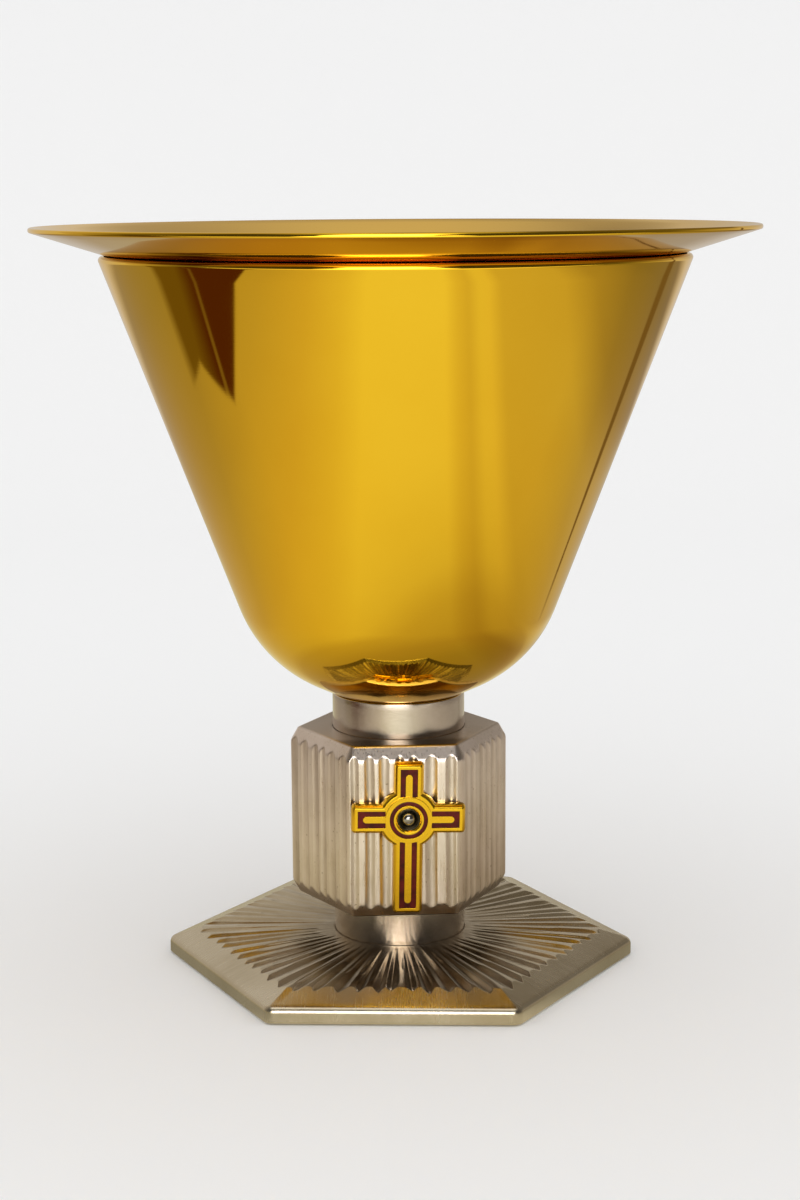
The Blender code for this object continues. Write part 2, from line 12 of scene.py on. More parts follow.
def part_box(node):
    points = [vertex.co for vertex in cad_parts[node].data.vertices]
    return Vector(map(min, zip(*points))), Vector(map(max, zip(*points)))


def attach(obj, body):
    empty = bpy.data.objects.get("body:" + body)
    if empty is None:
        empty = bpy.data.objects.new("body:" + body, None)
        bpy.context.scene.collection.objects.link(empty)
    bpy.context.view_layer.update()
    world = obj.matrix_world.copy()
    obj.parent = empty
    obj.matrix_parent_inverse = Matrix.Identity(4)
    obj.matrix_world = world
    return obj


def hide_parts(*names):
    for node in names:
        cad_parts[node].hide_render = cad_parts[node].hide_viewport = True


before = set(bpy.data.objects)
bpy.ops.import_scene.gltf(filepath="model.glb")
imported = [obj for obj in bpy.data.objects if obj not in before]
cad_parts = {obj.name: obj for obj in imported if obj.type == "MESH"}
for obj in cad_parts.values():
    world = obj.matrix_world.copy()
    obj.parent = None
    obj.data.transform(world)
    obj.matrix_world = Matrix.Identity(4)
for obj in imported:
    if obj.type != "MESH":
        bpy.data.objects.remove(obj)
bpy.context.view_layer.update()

MM = 0.001
COS_30 = math.cos(math.radians(30))
STAND, BASIN = "stand", "basin"


# ---- sizes: first the frame's, then those that only the looks need

def low(node):
    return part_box(node)[0]


def high(node):
    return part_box(node)[1]


RIM_RADIUS = high("basin").x
RIM_TOP = high("basin").z
BASIN_BOTTOM = low("basin").z
LIP_TOP = high("cup").z
FOOT_BOTTOM = low("cup").z
COLLAR_RADIUS = high("upper_collar").x
KNOP_BOTTOM, KNOP_TOP = low("knop_shell").z, high("knop_shell").z
METAL_BOTTOM = low("base_shell").z
CLEARANCE = 0.3 * MM
ROD_HOLE = high("tie_rod").x + CLEARANCE
CROSS_BACK = high("cross_body").y

WALL_ANGLE = math.radians(20.6)
FOOT_ANGLE = math.radians(25.9)
SHEET = 1.2 * MM
LIP_RADIUS = 89.9 * MM
CUP_FOOT_RADIUS = 20.9 * MM
FOOT_ROUNDING = 43.3 * MM
BASIN_SHEET = 1.5 * MM
NECK_RADIUS = 88.0 * MM
BASIN_ROUNDING = 38 * MM

COLLAR_BORE = 18.2 * MM
SEAT_RADIUS = COLLAR_RADIUS + 0.12 * MM
SEAT_DEPTH = 0.5 * MM

KNOP_SIDE = 34.6 * MM
KNOP_APOTHEM = KNOP_SIDE * COS_30
KNOP_CORNER_ROUNDING = 4.0 * MM
KNOP_INSET = 2.42 * MM
KNOP_CHAMFER = 4.3 * MM
KNOP_CAVITY_TOP = 70.5 * MM
FLUTE_DEPTH = 0.8 * MM
# (offset along the face, width) of each flute in millimetres, on the front face and the two beside it.
FRONT_FLUTES = ((-15.5, 2.8), (-10.8, 3.2), (-6.3, 3.4), (-1.6, 3.0), (2.6, 3.0), (8.0, 3.9), (14.1, 3.4))
RIGHT_FLUTES = ((-12.9, 3.2), (-8.6, 3.4), (-2.1, 4.2), (2.5, 3.4), (6.4, 3.2), (10.5, 3.3), (15.2, 3.0))
LEFT_FLUTES = ((-14.2, 4.2), (-8.2, 4.4), (-1.9, 3.8), (2.5, 3.4), (7.7, 4.2), (14.0, 4.2))
FLUTES_PER_FACE = 7

BASE_APOTHEM = 74.4 * MM * COS_30
BASE_CORNER_ROUNDING = 3.4 * MM
BASE_EDGE_TOP = 5.2 * MM
BORDER_INNER = 56.8 * MM
BORDER_TOP = 7.9 * MM
BORDER_RISE = (BORDER_TOP - BASE_EDGE_TOP) / (BASE_APOTHEM - BORDER_INNER)
FIELD_ROWS, BORDER_ROWS = 80, 60
FIELD_RISE = 0.0445
# The front border rises less steeply than the others by this much, and so is wider.
FRONT_SLOPE_LOSS = 0.035
BASE_TURN = math.radians(-5.6)
GOUGES = 66
FINE_STROKES = 120
GOUGE_TIP = 5.5 * MM
GOUGE_SPREAD = 0.16
UNCUT = -0.4 * MM
REED_CROWN = 0.5 * MM
CROWN_START, CROWN_FULL = 24 * MM, 52 * MM
FELT_OUTER, FELT_INNER = 62.2 * MM, 55.4 * MM
FELT_FLUFF = 0.03 * MM
RIM_INNER = 53.3 * MM
# The hollow underside of the foot: (apothem, height) from the rim in to the rod.
UNDERSIDE = ((53.0 * MM, 3.2 * MM), (52.4 * MM, 3.45 * MM), (36 * MM, 4.9 * MM), (18.5 * MM, 6.45 * MM),
             (17.5 * MM, 6.6 * MM))


# ---- mesh tools

def rounded_path(corners, tolerance=0.004 * MM, closed=False):
    """Points of a line whose corners (r, z, rounding) are rounded by arcs."""
    points = []
    for i, (r, z, rounding) in enumerate(corners):
        corner = Vector((r, z))
        if rounding == 0 or (not closed and i in (0, len(corners) - 1)):
            points.append(corner)
            continue
        before = (Vector(corners[i - 1][:2]) - corner).normalized()
        after = (Vector(corners[(i + 1) % len(corners)][:2]) - corner).normalized()
        half = before.angle(after) / 2
        centre = corner + (before + after).normalized() * rounding / math.sin(half)
        start = corner + before * rounding / math.tan(half) - centre
        end = corner + after * rounding / math.tan(half) - centre
        sweep = math.atan2(start.x * end.y - start.y * end.x, start.dot(end))
        steps = max(4, math.ceil(abs(sweep) / (2 * math.acos(1 - min(0.5, tolerance / rounding)))))
        for k in range(steps + 1):
            points.append(centre + Matrix.Rotation(sweep * k / steps, 2) @ start)
    return points


def spaced(points, step):
    """The same line with extra points, so that no stretch is longer than step."""
    out = [points[0]]
    for a, b in zip(points, points[1:]):
        n = max(1, math.ceil((b - a).length / step))
        out += [a.lerp(b, k / n) for k in range(1, n + 1)]
    return out


def add_piece(name, mesh):
    piece = bpy.data.objects.new(name, mesh)
    bpy.context.scene.collection.objects.link(piece)
    return piece


def grid_object(name, rows, ring=False, poles=None):
    """A mesh from rows of points, each row closed round; ring joins the last row to the first.
    Otherwise fans close the first and last rows, to points on the axis at the heights in poles."""
    rows = np.asarray(rows, dtype=np.float64)
    n_rows, n_cols = rows.shape[:2]
    points = rows.reshape(-1, 3)
    r = np.arange(n_rows if ring else n_rows - 1)[:, None]
    c = np.arange(n_cols)[None, :]
    below = (r + 1) % n_rows
    right = (c + 1) % n_cols
    quads = np.stack([r * n_cols + c, below * n_cols + c, below * n_cols + right, r * n_cols + right], -1)
    faces = [tuple(f) for f in quads.reshape(-1, 4).tolist()]
    if not ring:
        points = np.vstack([points, (0, 0, poles[0]), (0, 0, poles[1])])
        top, bottom = n_rows * n_cols, n_rows * n_cols + 1
        last = (n_rows - 1) * n_cols
        for k in range(n_cols):
            after = (k + 1) % n_cols
            faces.append((top, k, after))
            faces.append((bottom, last + after, last + k))
    mesh = bpy.data.meshes.new(name)
    mesh.from_pydata(points.tolist(), [], faces)
    mesh.validate()
    mesh.shade_smooth()
    return add_piece(name, mesh)


def revolve(name, path, columns, ring=False):
    """A turned piece from (r, z) points that run down its outer side, from the axis back to the axis
    or, as a ring, round a hole."""
    angles = np.arange(columns) * math.tau / columns
    around = np.stack([np.cos(angles), np.sin(angles)], -1)
    turned = path if ring else path[1:-1]
    rows = [np.column_stack([around * r, np.full(columns, z)]) for r, z in turned]
    return grid_object(name, rows, ring, (path[0][1], path[-1][1]))


def smooth_max(a, b, blend):
    """The larger of two values, rounded where they cross."""
    h = np.clip(0.5 + 0.5 * (a - b) / blend, 0, 1)
    return b + (a - b) * h + blend * h * (1 - h)


def from_bmesh(name, shape):
    mesh = bpy.data.meshes.new(name)
    shape.to_mesh(mesh)
    shape.free()
    return add_piece(name, mesh)


def apply_modifiers(piece):
    """The piece keeps the mesh that its modifiers make, and loses the modifiers."""
    depsgraph = bpy.context.evaluated_depsgraph_get()
    mesh = bpy.data.meshes.new_from_object(piece.evaluated_get(depsgraph))
    piece.modifiers.clear()
    piece.data = mesh
    return piece


def boolean(piece, other, operation="DIFFERENCE"):
    """Cut the other shape out of the piece, or add it; the other shape is used up."""
    modifier = piece.modifiers.new("boolean", "BOOLEAN")
    modifier.operation = operation
    modifier.solver = "EXACT"
    modifier.object = other
    apply_modifiers(piece)
    bpy.data.objects.remove(other, do_unlink=True)
    weld(piece)


def weld(piece):
    """Merge the points that a boolean leaves almost on top of each other, and its split flat faces."""
    same_place, too_short, flat = 0.003 * MM, 0.002 * MM, math.radians(0.6)
    shape = bmesh.new()
    shape.from_mesh(piece.data)
    bmesh.ops.remove_doubles(shape, verts=shape.verts, dist=same_place)
    bmesh.ops.dissolve_degenerate(shape, edges=shape.edges, dist=too_short)
    bmesh.ops.dissolve_limit(shape, angle_limit=flat, verts=shape.verts, edges=shape.edges)
    bmesh.ops.remove_doubles(shape, verts=shape.verts, dist=same_place)
    shape.to_mesh(piece.data)
    shape.free()


def round_edges(piece, width, segments, angle):
    """Bevel the edges sharper than angle degrees; faces square to an axis stay flat shaded."""
    bevel = piece.modifiers.new("rounding", "BEVEL")
    bevel.width = width
    bevel.segments = segments
    bevel.limit_method = "ANGLE"
    bevel.angle_limit = math.radians(angle)
    apply_modifiers(piece)
    for face in piece.data.polygons:
        face.use_smooth = max(abs(part) for part in face.normal) < 0.9999


def thick_shape(outline, front, back):
    """A flat plate in the XZ plane, from y = -back out to y = -front, and its front face."""
    shape = bmesh.new()
    face = shape.faces.new([shape.verts.new((x, -back, z)) for x, z in outline])
    grown = bmesh.ops.extrude_face_region(shape, geom=[face])["geom"]
    moved = [v for v in grown if isinstance(v, bmesh.types.BMVert)]
    bmesh.ops.translate(shape, verts=moved, vec=(0, back - front, 0))
    bmesh.ops.recalc_face_normals(shape, faces=shape.faces)
    return shape, [f for f in grown if isinstance(f, bmesh.types.BMFace)]


# ---- material tools

class Nodes:
    """A node tree built up step by step."""

    def __init__(self, tree):
        self.tree = tree

    def node(self, kind, inputs=None, **settings):
        made = self.tree.nodes.new(kind)
        for key, value in settings.items():
            setattr(made, key, value)
        for key, value in (inputs or {}).items():
            self.plug(made.inputs[key], value)
        return made

    def plug(self, socket, value):
        if isinstance(value, bpy.types.NodeSocket):
            self.tree.links.new(value, socket)
        else:
            socket.default_value = value

    def math(self, operation, a, b=0.0, c=0.0, clamp=False):
        made = self.node("ShaderNodeMath", operation=operation, use_clamp=clamp)
        for socket, value in zip(made.inputs, (a, b, c)):
            self.plug(socket, value)
        return made.outputs[0]

    def product(self, first, *others):
        for other in others:
            first = self.math("MULTIPLY", first, other)
        return first

    def away(self, value, middle=0.0):
        """Distance of a value from middle, to either side."""
        return self.math("ABSOLUTE", self.math("SUBTRACT", value, middle))

    def vector(self, operation, a, b=(0, 0, 0)):
        made = self.node("ShaderNodeVectorMath", {0: a, 1: b}, operation=operation)
        return made.outputs["Value" if operation == "DOT_PRODUCT" else "Vector"]

    def split(self, vector):
        made = self.node("ShaderNodeSeparateXYZ", {0: vector})
        return made.outputs

    def join(self, x, y, z):
        return self.node("ShaderNodeCombineXYZ", {0: x, 1: y, 2: z}).outputs[0]

    def noise(self, vector, scale, detail=3.0, roughness=0.55, stretch=(1, 1, 1)):
        """Grey noise from 0 to 1; stretch multiplies the coordinates first."""
        scaled = self.vector("MULTIPLY", vector, stretch)
        made = self.node("ShaderNodeTexNoise", {
            "Vector": scaled, "Scale": scale, "Detail": detail, "Roughness": roughness})
        return made.outputs["Fac"]

    def ramp(self, value, *stops):
        made = self.node("ShaderNodeValToRGB", {"Fac": value})
        elements = made.color_ramp.elements
        while len(elements) < len(stops):
            elements.new(0.5)
        for element, (position, colour) in zip(elements, stops):
            element.position = position
            element.color = (*colour, 1) if isinstance(colour, tuple) else (colour, colour, colour, 1)
        return made.outputs["Color"]

    def graded(self, value, start, end, stops):
        """A ramp over a value that runs from start to end; each stop is (place, colour)."""
        share = self.range(value, start, end, 0, 1)
        return self.ramp(share, *(((place - start) / (end - start), colour) for place, colour in stops))

    def range(self, value, from_low, from_high, to_low, to_high):
        made = self.node("ShaderNodeMapRange", {
            "Value": value, "From Min": from_low, "From Max": from_high, "To Min": to_low, "To Max": to_high})
        return made.outputs["Result"]

    def mix(self, factor, a, b, blend="MIX"):
        made = self.node("ShaderNodeMix", data_type="RGBA", blend_type=blend)
        self.plug(made.inputs[0], factor)
        self.plug(made.inputs[6], (*a, 1) if isinstance(a, tuple) else a)
        self.plug(made.inputs[7], (*b, 1) if isinstance(b, tuple) else b)
        return made.outputs[2]

    def bump(self, height, strength, distance, normal=None):
        inputs = {"Height": height, "Strength": strength, "Distance": distance}
        if normal is not None:
            inputs["Normal"] = normal
        return self.node("ShaderNodeBump", inputs).outputs["Normal"]

    def length(self, x, y):
        return self.math("SQRT", self.math("ADD", self.product(x, x), self.product(y, y)))

    def bearing(self, x, y):
        """Angle round from the camera's side, in degrees."""
        return self.math("DEGREES", self.math("ARCTAN2", x, self.product(y, -1.0)))


class Shade(Nodes):
    """The nodes of a new material."""

    def __init__(self, name):
        self.material = bpy.data.materials.new(name)
        self.material.use_nodes = True
        super().__init__(self.material.node_tree)
        self.shader = self.tree.nodes["Principled BSDF"]
        self.place = self.node("ShaderNodeTexCoord").outputs["Object"]

    def set(self, **values):
        for key, value in values.items():
            self.plug(self.shader.inputs[key.replace("_", " ")], value)

    def cut_depth(self):
        """How deep the tool cut at this place, as mark_depth stores it."""
        return self.node("ShaderNodeAttribute", attribute_name="depth").outputs["Fac"]

    def polar(self):
        """(angle round the axis in turns, distance from the axis, height)."""
        x, y, z = self.split(self.place)
        angle = self.math("DIVIDE", self.math("ARCTAN2", y, x), math.tau)
        return angle, self.length(x, y), z


def gold_material(name, spun=True, shade_above=None, roughness=0.035):
    """Mirror-polished gold plate: faint spinning rings, a few hairline scratches, light smears.
    Faces that look down and lie above the given height get a painted shade, darker and browner, as under the
    basin's flange."""
    s = Shade(name)
    smear = s.noise(s.place, 26, detail=4)
    colour = s.ramp(smear, (0.3, (0.94, 0.565, 0.030)), (0.7, (0.97, 0.60, 0.036)))
    if shade_above:
        down = s.split(s.node("ShaderNodeNewGeometry").outputs["Normal"])[2]
        z = s.split(s.place)[2]
        # Painted shade on the downward faces above that height: the underside of the basin's flange.
        underside_shade = s.product(s.range(down, -0.6, -0.9, 0, 0.8), s.math("GREATER_THAN", z, shade_above))
        colour = s.mix(underside_shade, colour, (0.40, 0.21, 0.014))
    s.set(Metallic=1.0, Base_Color=colour)
    s.set(Roughness=s.range(smear, 0.3, 0.75, roughness, roughness + 0.04))
    if spun:
        angle, radius, z = s.polar()
        lathe_lines = s.noise(s.join(0.0, 0.0, s.math("MULTIPLY_ADD", radius, 0.4, z)), 2600, detail=2)
        normal = s.bump(lathe_lines, 0.02, 0.00006)
        normal = s.bump(s.noise(s.place, 17, detail=1), 0.05, 0.0012, normal)
    else:
        normal = s.bump(s.noise(s.place, 900, detail=2), 0.06, 0.00008)
        normal = s.bump(s.noise(s.place, 420, detail=2), 0.10, 0.0002, normal)
    scratch = s.noise(s.place, 60, detail=1, stretch=(9, 9, 0.6))
    hairline = s.math("GREATER_THAN", scratch, 0.74)
    s.set(Normal=s.bump(hairline, 0.03, 0.00002, normal))
    return s.material


def nickel_material(name, lines, tone, roughness, patina_and_shade=None, blue=1.0):
    """Satin nickel plate with a brushed grain: lines gives a socket that changes fast across the grain,
    and the darkening function one that says how brown the metal is made, by patina and by painted shade."""
    s = Shade(name)
    grain = lines(s)
    cloud = s.noise(s.place, 55, detail=4)
    dark = (tone * 0.46, tone * 0.395, tone * 0.295 * blue)
    light = (tone * 0.60, tone * 0.535, tone * 0.445 * blue)
    brushed = (tone * 0.68, tone * 0.62, tone * 0.53 * blue)
    colour = s.ramp(cloud, (0.3, dark), (0.72, light))
    tint = s.mix(s.range(grain, 0.3, 0.7, 0.0, 0.4), colour, brushed)
    if patina_and_shade:
        # Browner where patina or painted shade asks for it.
        tint = s.mix(patina_and_shade(s), tint, (0.20, 0.135, 0.065))
    s.set(Metallic=1.0, Base_Color=tint)
    wear = s.math("MULTIPLY_ADD", grain, 0.16, roughness - 0.08)
    s.set(Roughness=s.math("MULTIPLY_ADD", cloud, 0.08, wear, clamp=True))
    normal = s.bump(grain, 0.22, 0.00006)
    pits = s.noise(s.place, 1500, detail=2)
    s.set(Normal=s.bump(pits, 0.10, 0.00005, normal))
    return s.material


def collar_shade_and_patina(s):
    """Painted shade near the collar's seat and more in front of it, broken into streaks, and brown patina in
    streaks along the gouges.
    """
    angle, radius, z = s.polar()
    # Painted shade: darker close to the collar, under the knop, and more just in front of it.
    near = s.range(radius, 0.022, 0.052, 0.62, 0.08)
    streaks = s.noise(s.join(angle, s.product(radius, 0.8), 0.0), 60)
    x, y, z = s.split(s.place)
    front = s.product(s.range(y, -0.016, -0.023, 0.0, 1.0), s.range(s.away(x), 0.012, 0.036, 1, 0))
    brown = s.product(s.math("MAXIMUM", near, front), s.range(streaks, 0.3, 0.7, 0.5, 1.3))
    # Patina along the gouges, from the cut depth, is added to the painted shade.
    return s.math("MULTIPLY_ADD", s.cut_depth(), s.range(streaks, 0.35, 0.7, 0.0, 0.22), brown, clamp=True)


def flute_patina_and_shade(s):
    """Brown patina at the bottom of the flutes and in scattered specks; painted shade on the knop's top end,
    stronger at the front; and darker towards the knop's bottom end.
    """
    x, y, z = s.split(s.place)
    # Painted shade on the top end of the knop, stronger at the front.
    top = s.range(z, KNOP_TOP - 0.6 * MM, KNOP_TOP, 0, s.range(y, -0.018, -0.022, 0.5, 0.95))
    bottom = s.range(z, KNOP_BOTTOM + 5 * MM, KNOP_BOTTOM + 2 * MM, 0, 0.5)
    blotch = s.noise(s.place, 170, detail=4, stretch=(1, 1, 0.25))
    groove = s.product(s.cut_depth(), s.range(blotch, 0.35, 0.7, 0.02, 0.40))
    brown = s.math("MAXIMUM", s.math("MAXIMUM", top, bottom), groove)
    speck = s.range(s.noise(s.place, 900, detail=1), 0.73, 0.78, 0, 0.5)
    return s.math("ADD", brown, speck, clamp=True)


def turned_lines(s):
    """Fine rings round the vertical axis, with some skewed strokes."""
    angle, radius, z = s.polar()
    rings = s.noise(s.join(s.product(angle, 0.012), 0.0, z), 5200)
    skewed = s.math("MULTIPLY_ADD", angle, 0.01, z)
    strokes = s.noise(s.join(s.product(angle, 0.05), 0.0, skewed), 2100)
    return s.math("MULTIPLY_ADD", strokes, 0.4, s.product(rings, 0.6))


def upright_lines(s):
    """Fine lines along Z, as left by draw-filing the flutes."""
    return s.noise(s.place, 2400, detail=3, stretch=(1, 1, 0.03))


def radial_lines(s):
    """Fine lines that run out from the axis."""
    angle, radius, z = s.polar()
    return s.noise(s.join(angle, s.product(radius, 0.35), 0.0), 420)


def border_lines(s):
    """Brush lines that cross the foot's border at right angles to its edge, and fade out on the edge."""
    x, y, z = s.split(s.place)
    sixth = math.pi / 3
    angle = s.math("SUBTRACT", s.math("ARCTAN2", y, x), BASE_TURN)
    facet = s.math("MULTIPLY_ADD", s.math("FLOOR", s.math("DIVIDE", angle, sixth)), sixth, sixth / 2)
    facing = s.math("ADD", facet, BASE_TURN)
    cosine, sine = s.math("COSINE", facing), s.math("SINE", facing)
    along = s.math("SUBTRACT", s.product(y, cosine), s.product(x, sine))
    out = s.math("ADD", s.product(x, cosine), s.product(y, sine))
    fine = s.noise(s.join(along, s.product(out, 0.04), facet), 3000)
    coarse = s.noise(s.join(along, s.product(out, 0.06), facet), 900, detail=2)
    lines = s.math("MULTIPLY_ADD", coarse, 0.5, s.product(fine, 0.5))
    on_top = s.range(out, BASE_APOTHEM - 1.0 * MM, BASE_APOTHEM - 0.5 * MM, 1, 0.12)
    return s.math("MULTIPLY_ADD", s.math("SUBTRACT", lines, 0.5), on_top, 0.5)


def enamel_material():
    s = Shade("red_enamel")
    cloud = s.noise(s.place, 320)
    colour = s.ramp(cloud, (0.3, (0.045, 0.002, 0.0015)), (0.7, (0.15, 0.007, 0.004)))
    s.set(Base_Color=colour, Roughness=s.range(cloud, 0.2, 0.8, 0.12, 0.25), Specular_IOR_Level=0.25)
    s.set(Normal=s.bump(s.noise(s.place, 700, detail=2), 0.10, 0.0001))
    return s.material


def setting_material():
    s = Shade("oxidised_silver")
    cloud = s.noise(s.place, 500)
    s.set(Metallic=1.0, Base_Color=s.ramp(cloud, (0.3, (0.035, 0.030, 0.018)), (0.8, (0.09, 0.075, 0.045))))
    s.set(Roughness=s.range(cloud, 0.2, 0.8, 0.15, 0.35), Normal=s.bump(cloud, 0.1, 0.0001))
    return s.material


def stone_material():
    s = Shade("polished_stone")
    swirl = s.noise(s.place, 380, detail=4, stretch=(1, 1, 2))
    s.set(Metallic=1.0, Base_Color=s.ramp(swirl, (0.35, (0.20, 0.19, 0.18)), (0.7, (0.45, 0.43, 0.42))))
    s.set(Roughness=s.range(swirl, 0.2, 0.8, 0.06, 0.18), Coat_Weight=1.0, Coat_Roughness=0.02)
    s.set(Normal=s.bump(swirl, 0.12, 0.0002))
    return s.material


def felt_material():
    s = Shade("green_felt")
    fibres = s.noise(s.place, 2600, detail=4, roughness=0.7)
    cloud = s.noise(s.place, 90)
    s.set(Base_Color=s.mix(cloud, (0.018, 0.055, 0.028), (0.035, 0.09, 0.045)), Sheen_Weight=0.5)
    s.set(Roughness=s.range(fibres, 0.2, 0.8, 0.85, 1.0), Normal=s.bump(fibres, 0.8, 0.0004))
    return s.material


def steel_material():
    s = Shade("plated_steel")
    grain = turned_lines(s)
    cloud = s.noise(s.place, 160)
    s.set(Metallic=1.0, Base_Color=s.ramp(cloud, (0.3, (0.36, 0.36, 0.37)), (0.7, (0.52, 0.52, 0.52))))
    s.set(Roughness=s.range(grain, 0.2, 0.8, 0.22, 0.42), Normal=s.bump(grain, 0.25, 0.00006))
    return s.material


def finish_piece(piece, body, slot, material, *nodes):
    """The piece gets its material, moves with its body and stands for these CAD nodes."""
    piece.data.materials.clear()
    piece.data.materials.append(material)
    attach(piece, body)
    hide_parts(*nodes)


# ---- cup and basin

def build_cup(material):
    """Steep wall and shallow foot, which meet in one large rounding."""
    wall, foot = math.tan(WALL_ANGLE), math.tan(FOOT_ANGLE)
    corner_r = (LIP_RADIUS - wall * (LIP_TOP - FOOT_BOTTOM + foot * CUP_FOOT_RADIUS)) / (1 - wall * foot)
    corner_z = FOOT_BOTTOM + foot * (corner_r - CUP_FOOT_RADIUS)
    inner_floor = FOOT_BOTTOM + SHEET
    side = SHEET / math.cos(WALL_ANGLE)
    slope_side = SHEET / math.cos(FOOT_ANGLE)
    inner_lip = LIP_RADIUS - side
    drop = LIP_TOP - FOOT_BOTTOM - slope_side
    inner_corner_r = (inner_lip - wall * (drop + foot * CUP_FOOT_RADIUS)) / (1 - wall * foot)
    inner_corner_z = FOOT_BOTTOM + slope_side + foot * (inner_corner_r - CUP_FOOT_RADIUS)
    path = rounded_path([
        (0, inner_floor, 0),
        (CUP_FOOT_RADIUS - 0.4 * MM, inner_floor, 1.5 * MM),
        (inner_corner_r, inner_corner_z, FOOT_ROUNDING - SHEET),
        (inner_lip - 0.6 * MM, LIP_TOP, 0.3 * MM),
        (LIP_RADIUS + 0.25 * MM, LIP_TOP, 1.25 * MM),
        (corner_r, corner_z, FOOT_ROUNDING),
        (CUP_FOOT_RADIUS, FOOT_BOTTOM, 0.6 * MM),
        (0, FOOT_BOTTOM, 0)])
    cup = revolve("cup_shell", spaced(path, 4 * MM), 288)
    finish_piece(cup, STAND, "polished_gold", material, "cup")


def build_basin(material):
    """A bowl inside the cup, with a wide sloping flange that rests over the cup's lip."""
    wall = math.tan(WALL_ANGLE)
    neck_bottom = LIP_TOP + CLEARANCE
    flange_angle = math.atan2(RIM_TOP - BASIN_SHEET - neck_bottom, RIM_RADIUS - NECK_RADIUS)
    edge = BASIN_SHEET / math.cos(flange_angle)
    rim_top = RIM_TOP + 0.15 * MM
    rise = (rim_top - edge - neck_bottom) / (RIM_RADIUS - NECK_RADIUS)
    inner_neck = NECK_RADIUS + (wall * edge - BASIN_SHEET / math.cos(WALL_ANGLE)) / (1 - wall * rise)
    inner_neck_height = neck_bottom + edge + rise * (inner_neck - NECK_RADIUS)
    floor = BASIN_BOTTOM + BASIN_SHEET
    outer_corner = NECK_RADIUS - wall * (neck_bottom - BASIN_BOTTOM)
    inner_corner = inner_neck - wall * (inner_neck_height - floor)
    path = rounded_path([
        (0, floor, 0),
        (inner_corner, floor, BASIN_ROUNDING - BASIN_SHEET),
        (inner_neck, inner_neck_height, 2.5 * MM),
        (RIM_RADIUS, rim_top, 0.6 * MM),
        (RIM_RADIUS, rim_top - edge, 0.6 * MM),
        (NECK_RADIUS, neck_bottom, 1.0 * MM),
        (outer_corner, BASIN_BOTTOM, BASIN_ROUNDING),
        (0, BASIN_BOTTOM, 0)])
    basin = revolve("basin_bowl", spaced(path, 4 * MM), 288)
    finish_piece(basin, BASIN, "polished_gold", material, "basin")


# ---- collars

def build_collars(material):
    for node in ("upper_collar", "lower_collar"):
        bottom, top = low(node).z, high(node).z
        path = rounded_path([
            (COLLAR_RADIUS, top, 0.45 * MM), (COLLAR_RADIUS, bottom, 0.3 * MM),
            (COLLAR_BORE, bottom, 0.2 * MM), (COLLAR_BORE, top, 0.2 * MM)], closed=True)
        collar = revolve(node + "_ring", spaced(path, 2 * MM), 192, ring=True)
        finish_piece(collar, STAND, "satin_nickel", material, node)


# ---- hexagon outlines

def hexagon(apothem, rounding, columns):
    """Points, outward normals, face number and distance along the face of a rounded hexagon's outline.
    Face 0 looks towards -Y, and the faces run anticlockwise."""
    flat = (apothem - rounding) * math.tan(math.pi / 6)
    arc = rounding * math.pi / 6
    per_face = columns // 6
    points, normals, faces, along = [], [], [], []
    for face in range(6):
        facing = math.radians(60 * face - 90)
        out = np.array([math.cos(facing), math.sin(facing)])
        side = np.array([-math.sin(facing), math.cos(facing)])
        for k in range(per_face):
            s = (2 * (k + 0.5) / per_face - 1) * (flat + arc)
            beyond = max(0.0, abs(s) - flat)
            lean = math.copysign(beyond / rounding, s)
            normal = out * math.cos(lean) + side * math.sin(lean)
            middle = out * (apothem - rounding) + side * max(-flat, min(flat, s))
            points.append(middle + normal * rounding)
            normals.append(normal)
            faces.append(face)
            along.append(s)
    return np.array(points), np.array(normals), np.array(faces), np.array(along)


def level_row(points, z):
    """Flat points at one height, or at a height each."""
    return np.column_stack([points, np.broadcast_to(z, len(points))])


def directions(points):
    """The angle of each point round the axis, and its direction."""
    angle = np.arctan2(points[:, 1], points[:, 0])
    return angle, np.column_stack([np.cos(angle), np.sin(angle)])


def hexagon_row(apothem, rounding, columns, z):
    return level_row(hexagon(apothem, rounding, columns)[0], z)


# ---- knop

def flute_layout():
    """(face, offset along it, width) of each flute."""
    chance = random.Random(11)
    layout = []
    for face, flutes in ((0, FRONT_FLUTES), (1, RIGHT_FLUTES), (5, LEFT_FLUTES)):
        layout += [(face, offset * MM, width * MM) for offset, width in flutes]
    pitch = (KNOP_SIDE - 2 * MM) / FLUTES_PER_FACE
    for face in (2, 3, 4):
        for i in range(FLUTES_PER_FACE):
            offset = (i - (FLUTES_PER_FACE - 1) / 2) * pitch + chance.uniform(-0.4, 0.4) * MM
            layout.append((face, offset, chance.uniform(2.8, 3.6) * MM))
    return layout


def flute_depth(faces, along, z, layout, sway):
    """How far the hand-cut flutes sink at height z, for every point of the outline."""
    deepest = np.full(len(along), -1.0)
    for (face, offset, width), (phase, depth) in zip(layout, sway):
        middle = offset + 0.09 * MM * math.sin(z / (9 * MM) + phase)
        x = (along - middle) / (width / 2 * (1 + 0.03 * math.sin(z / (6 * MM) + 2 * phase)))
        near = np.where(faces == face, 1 - x * x, -50.0)
        deepest = np.maximum(deepest, depth * near / FLUTE_DEPTH)
    sink = np.clip(deepest, -1, None) * FLUTE_DEPTH
    return smooth_max(sink, np.zeros_like(sink), 0.10 * MM)


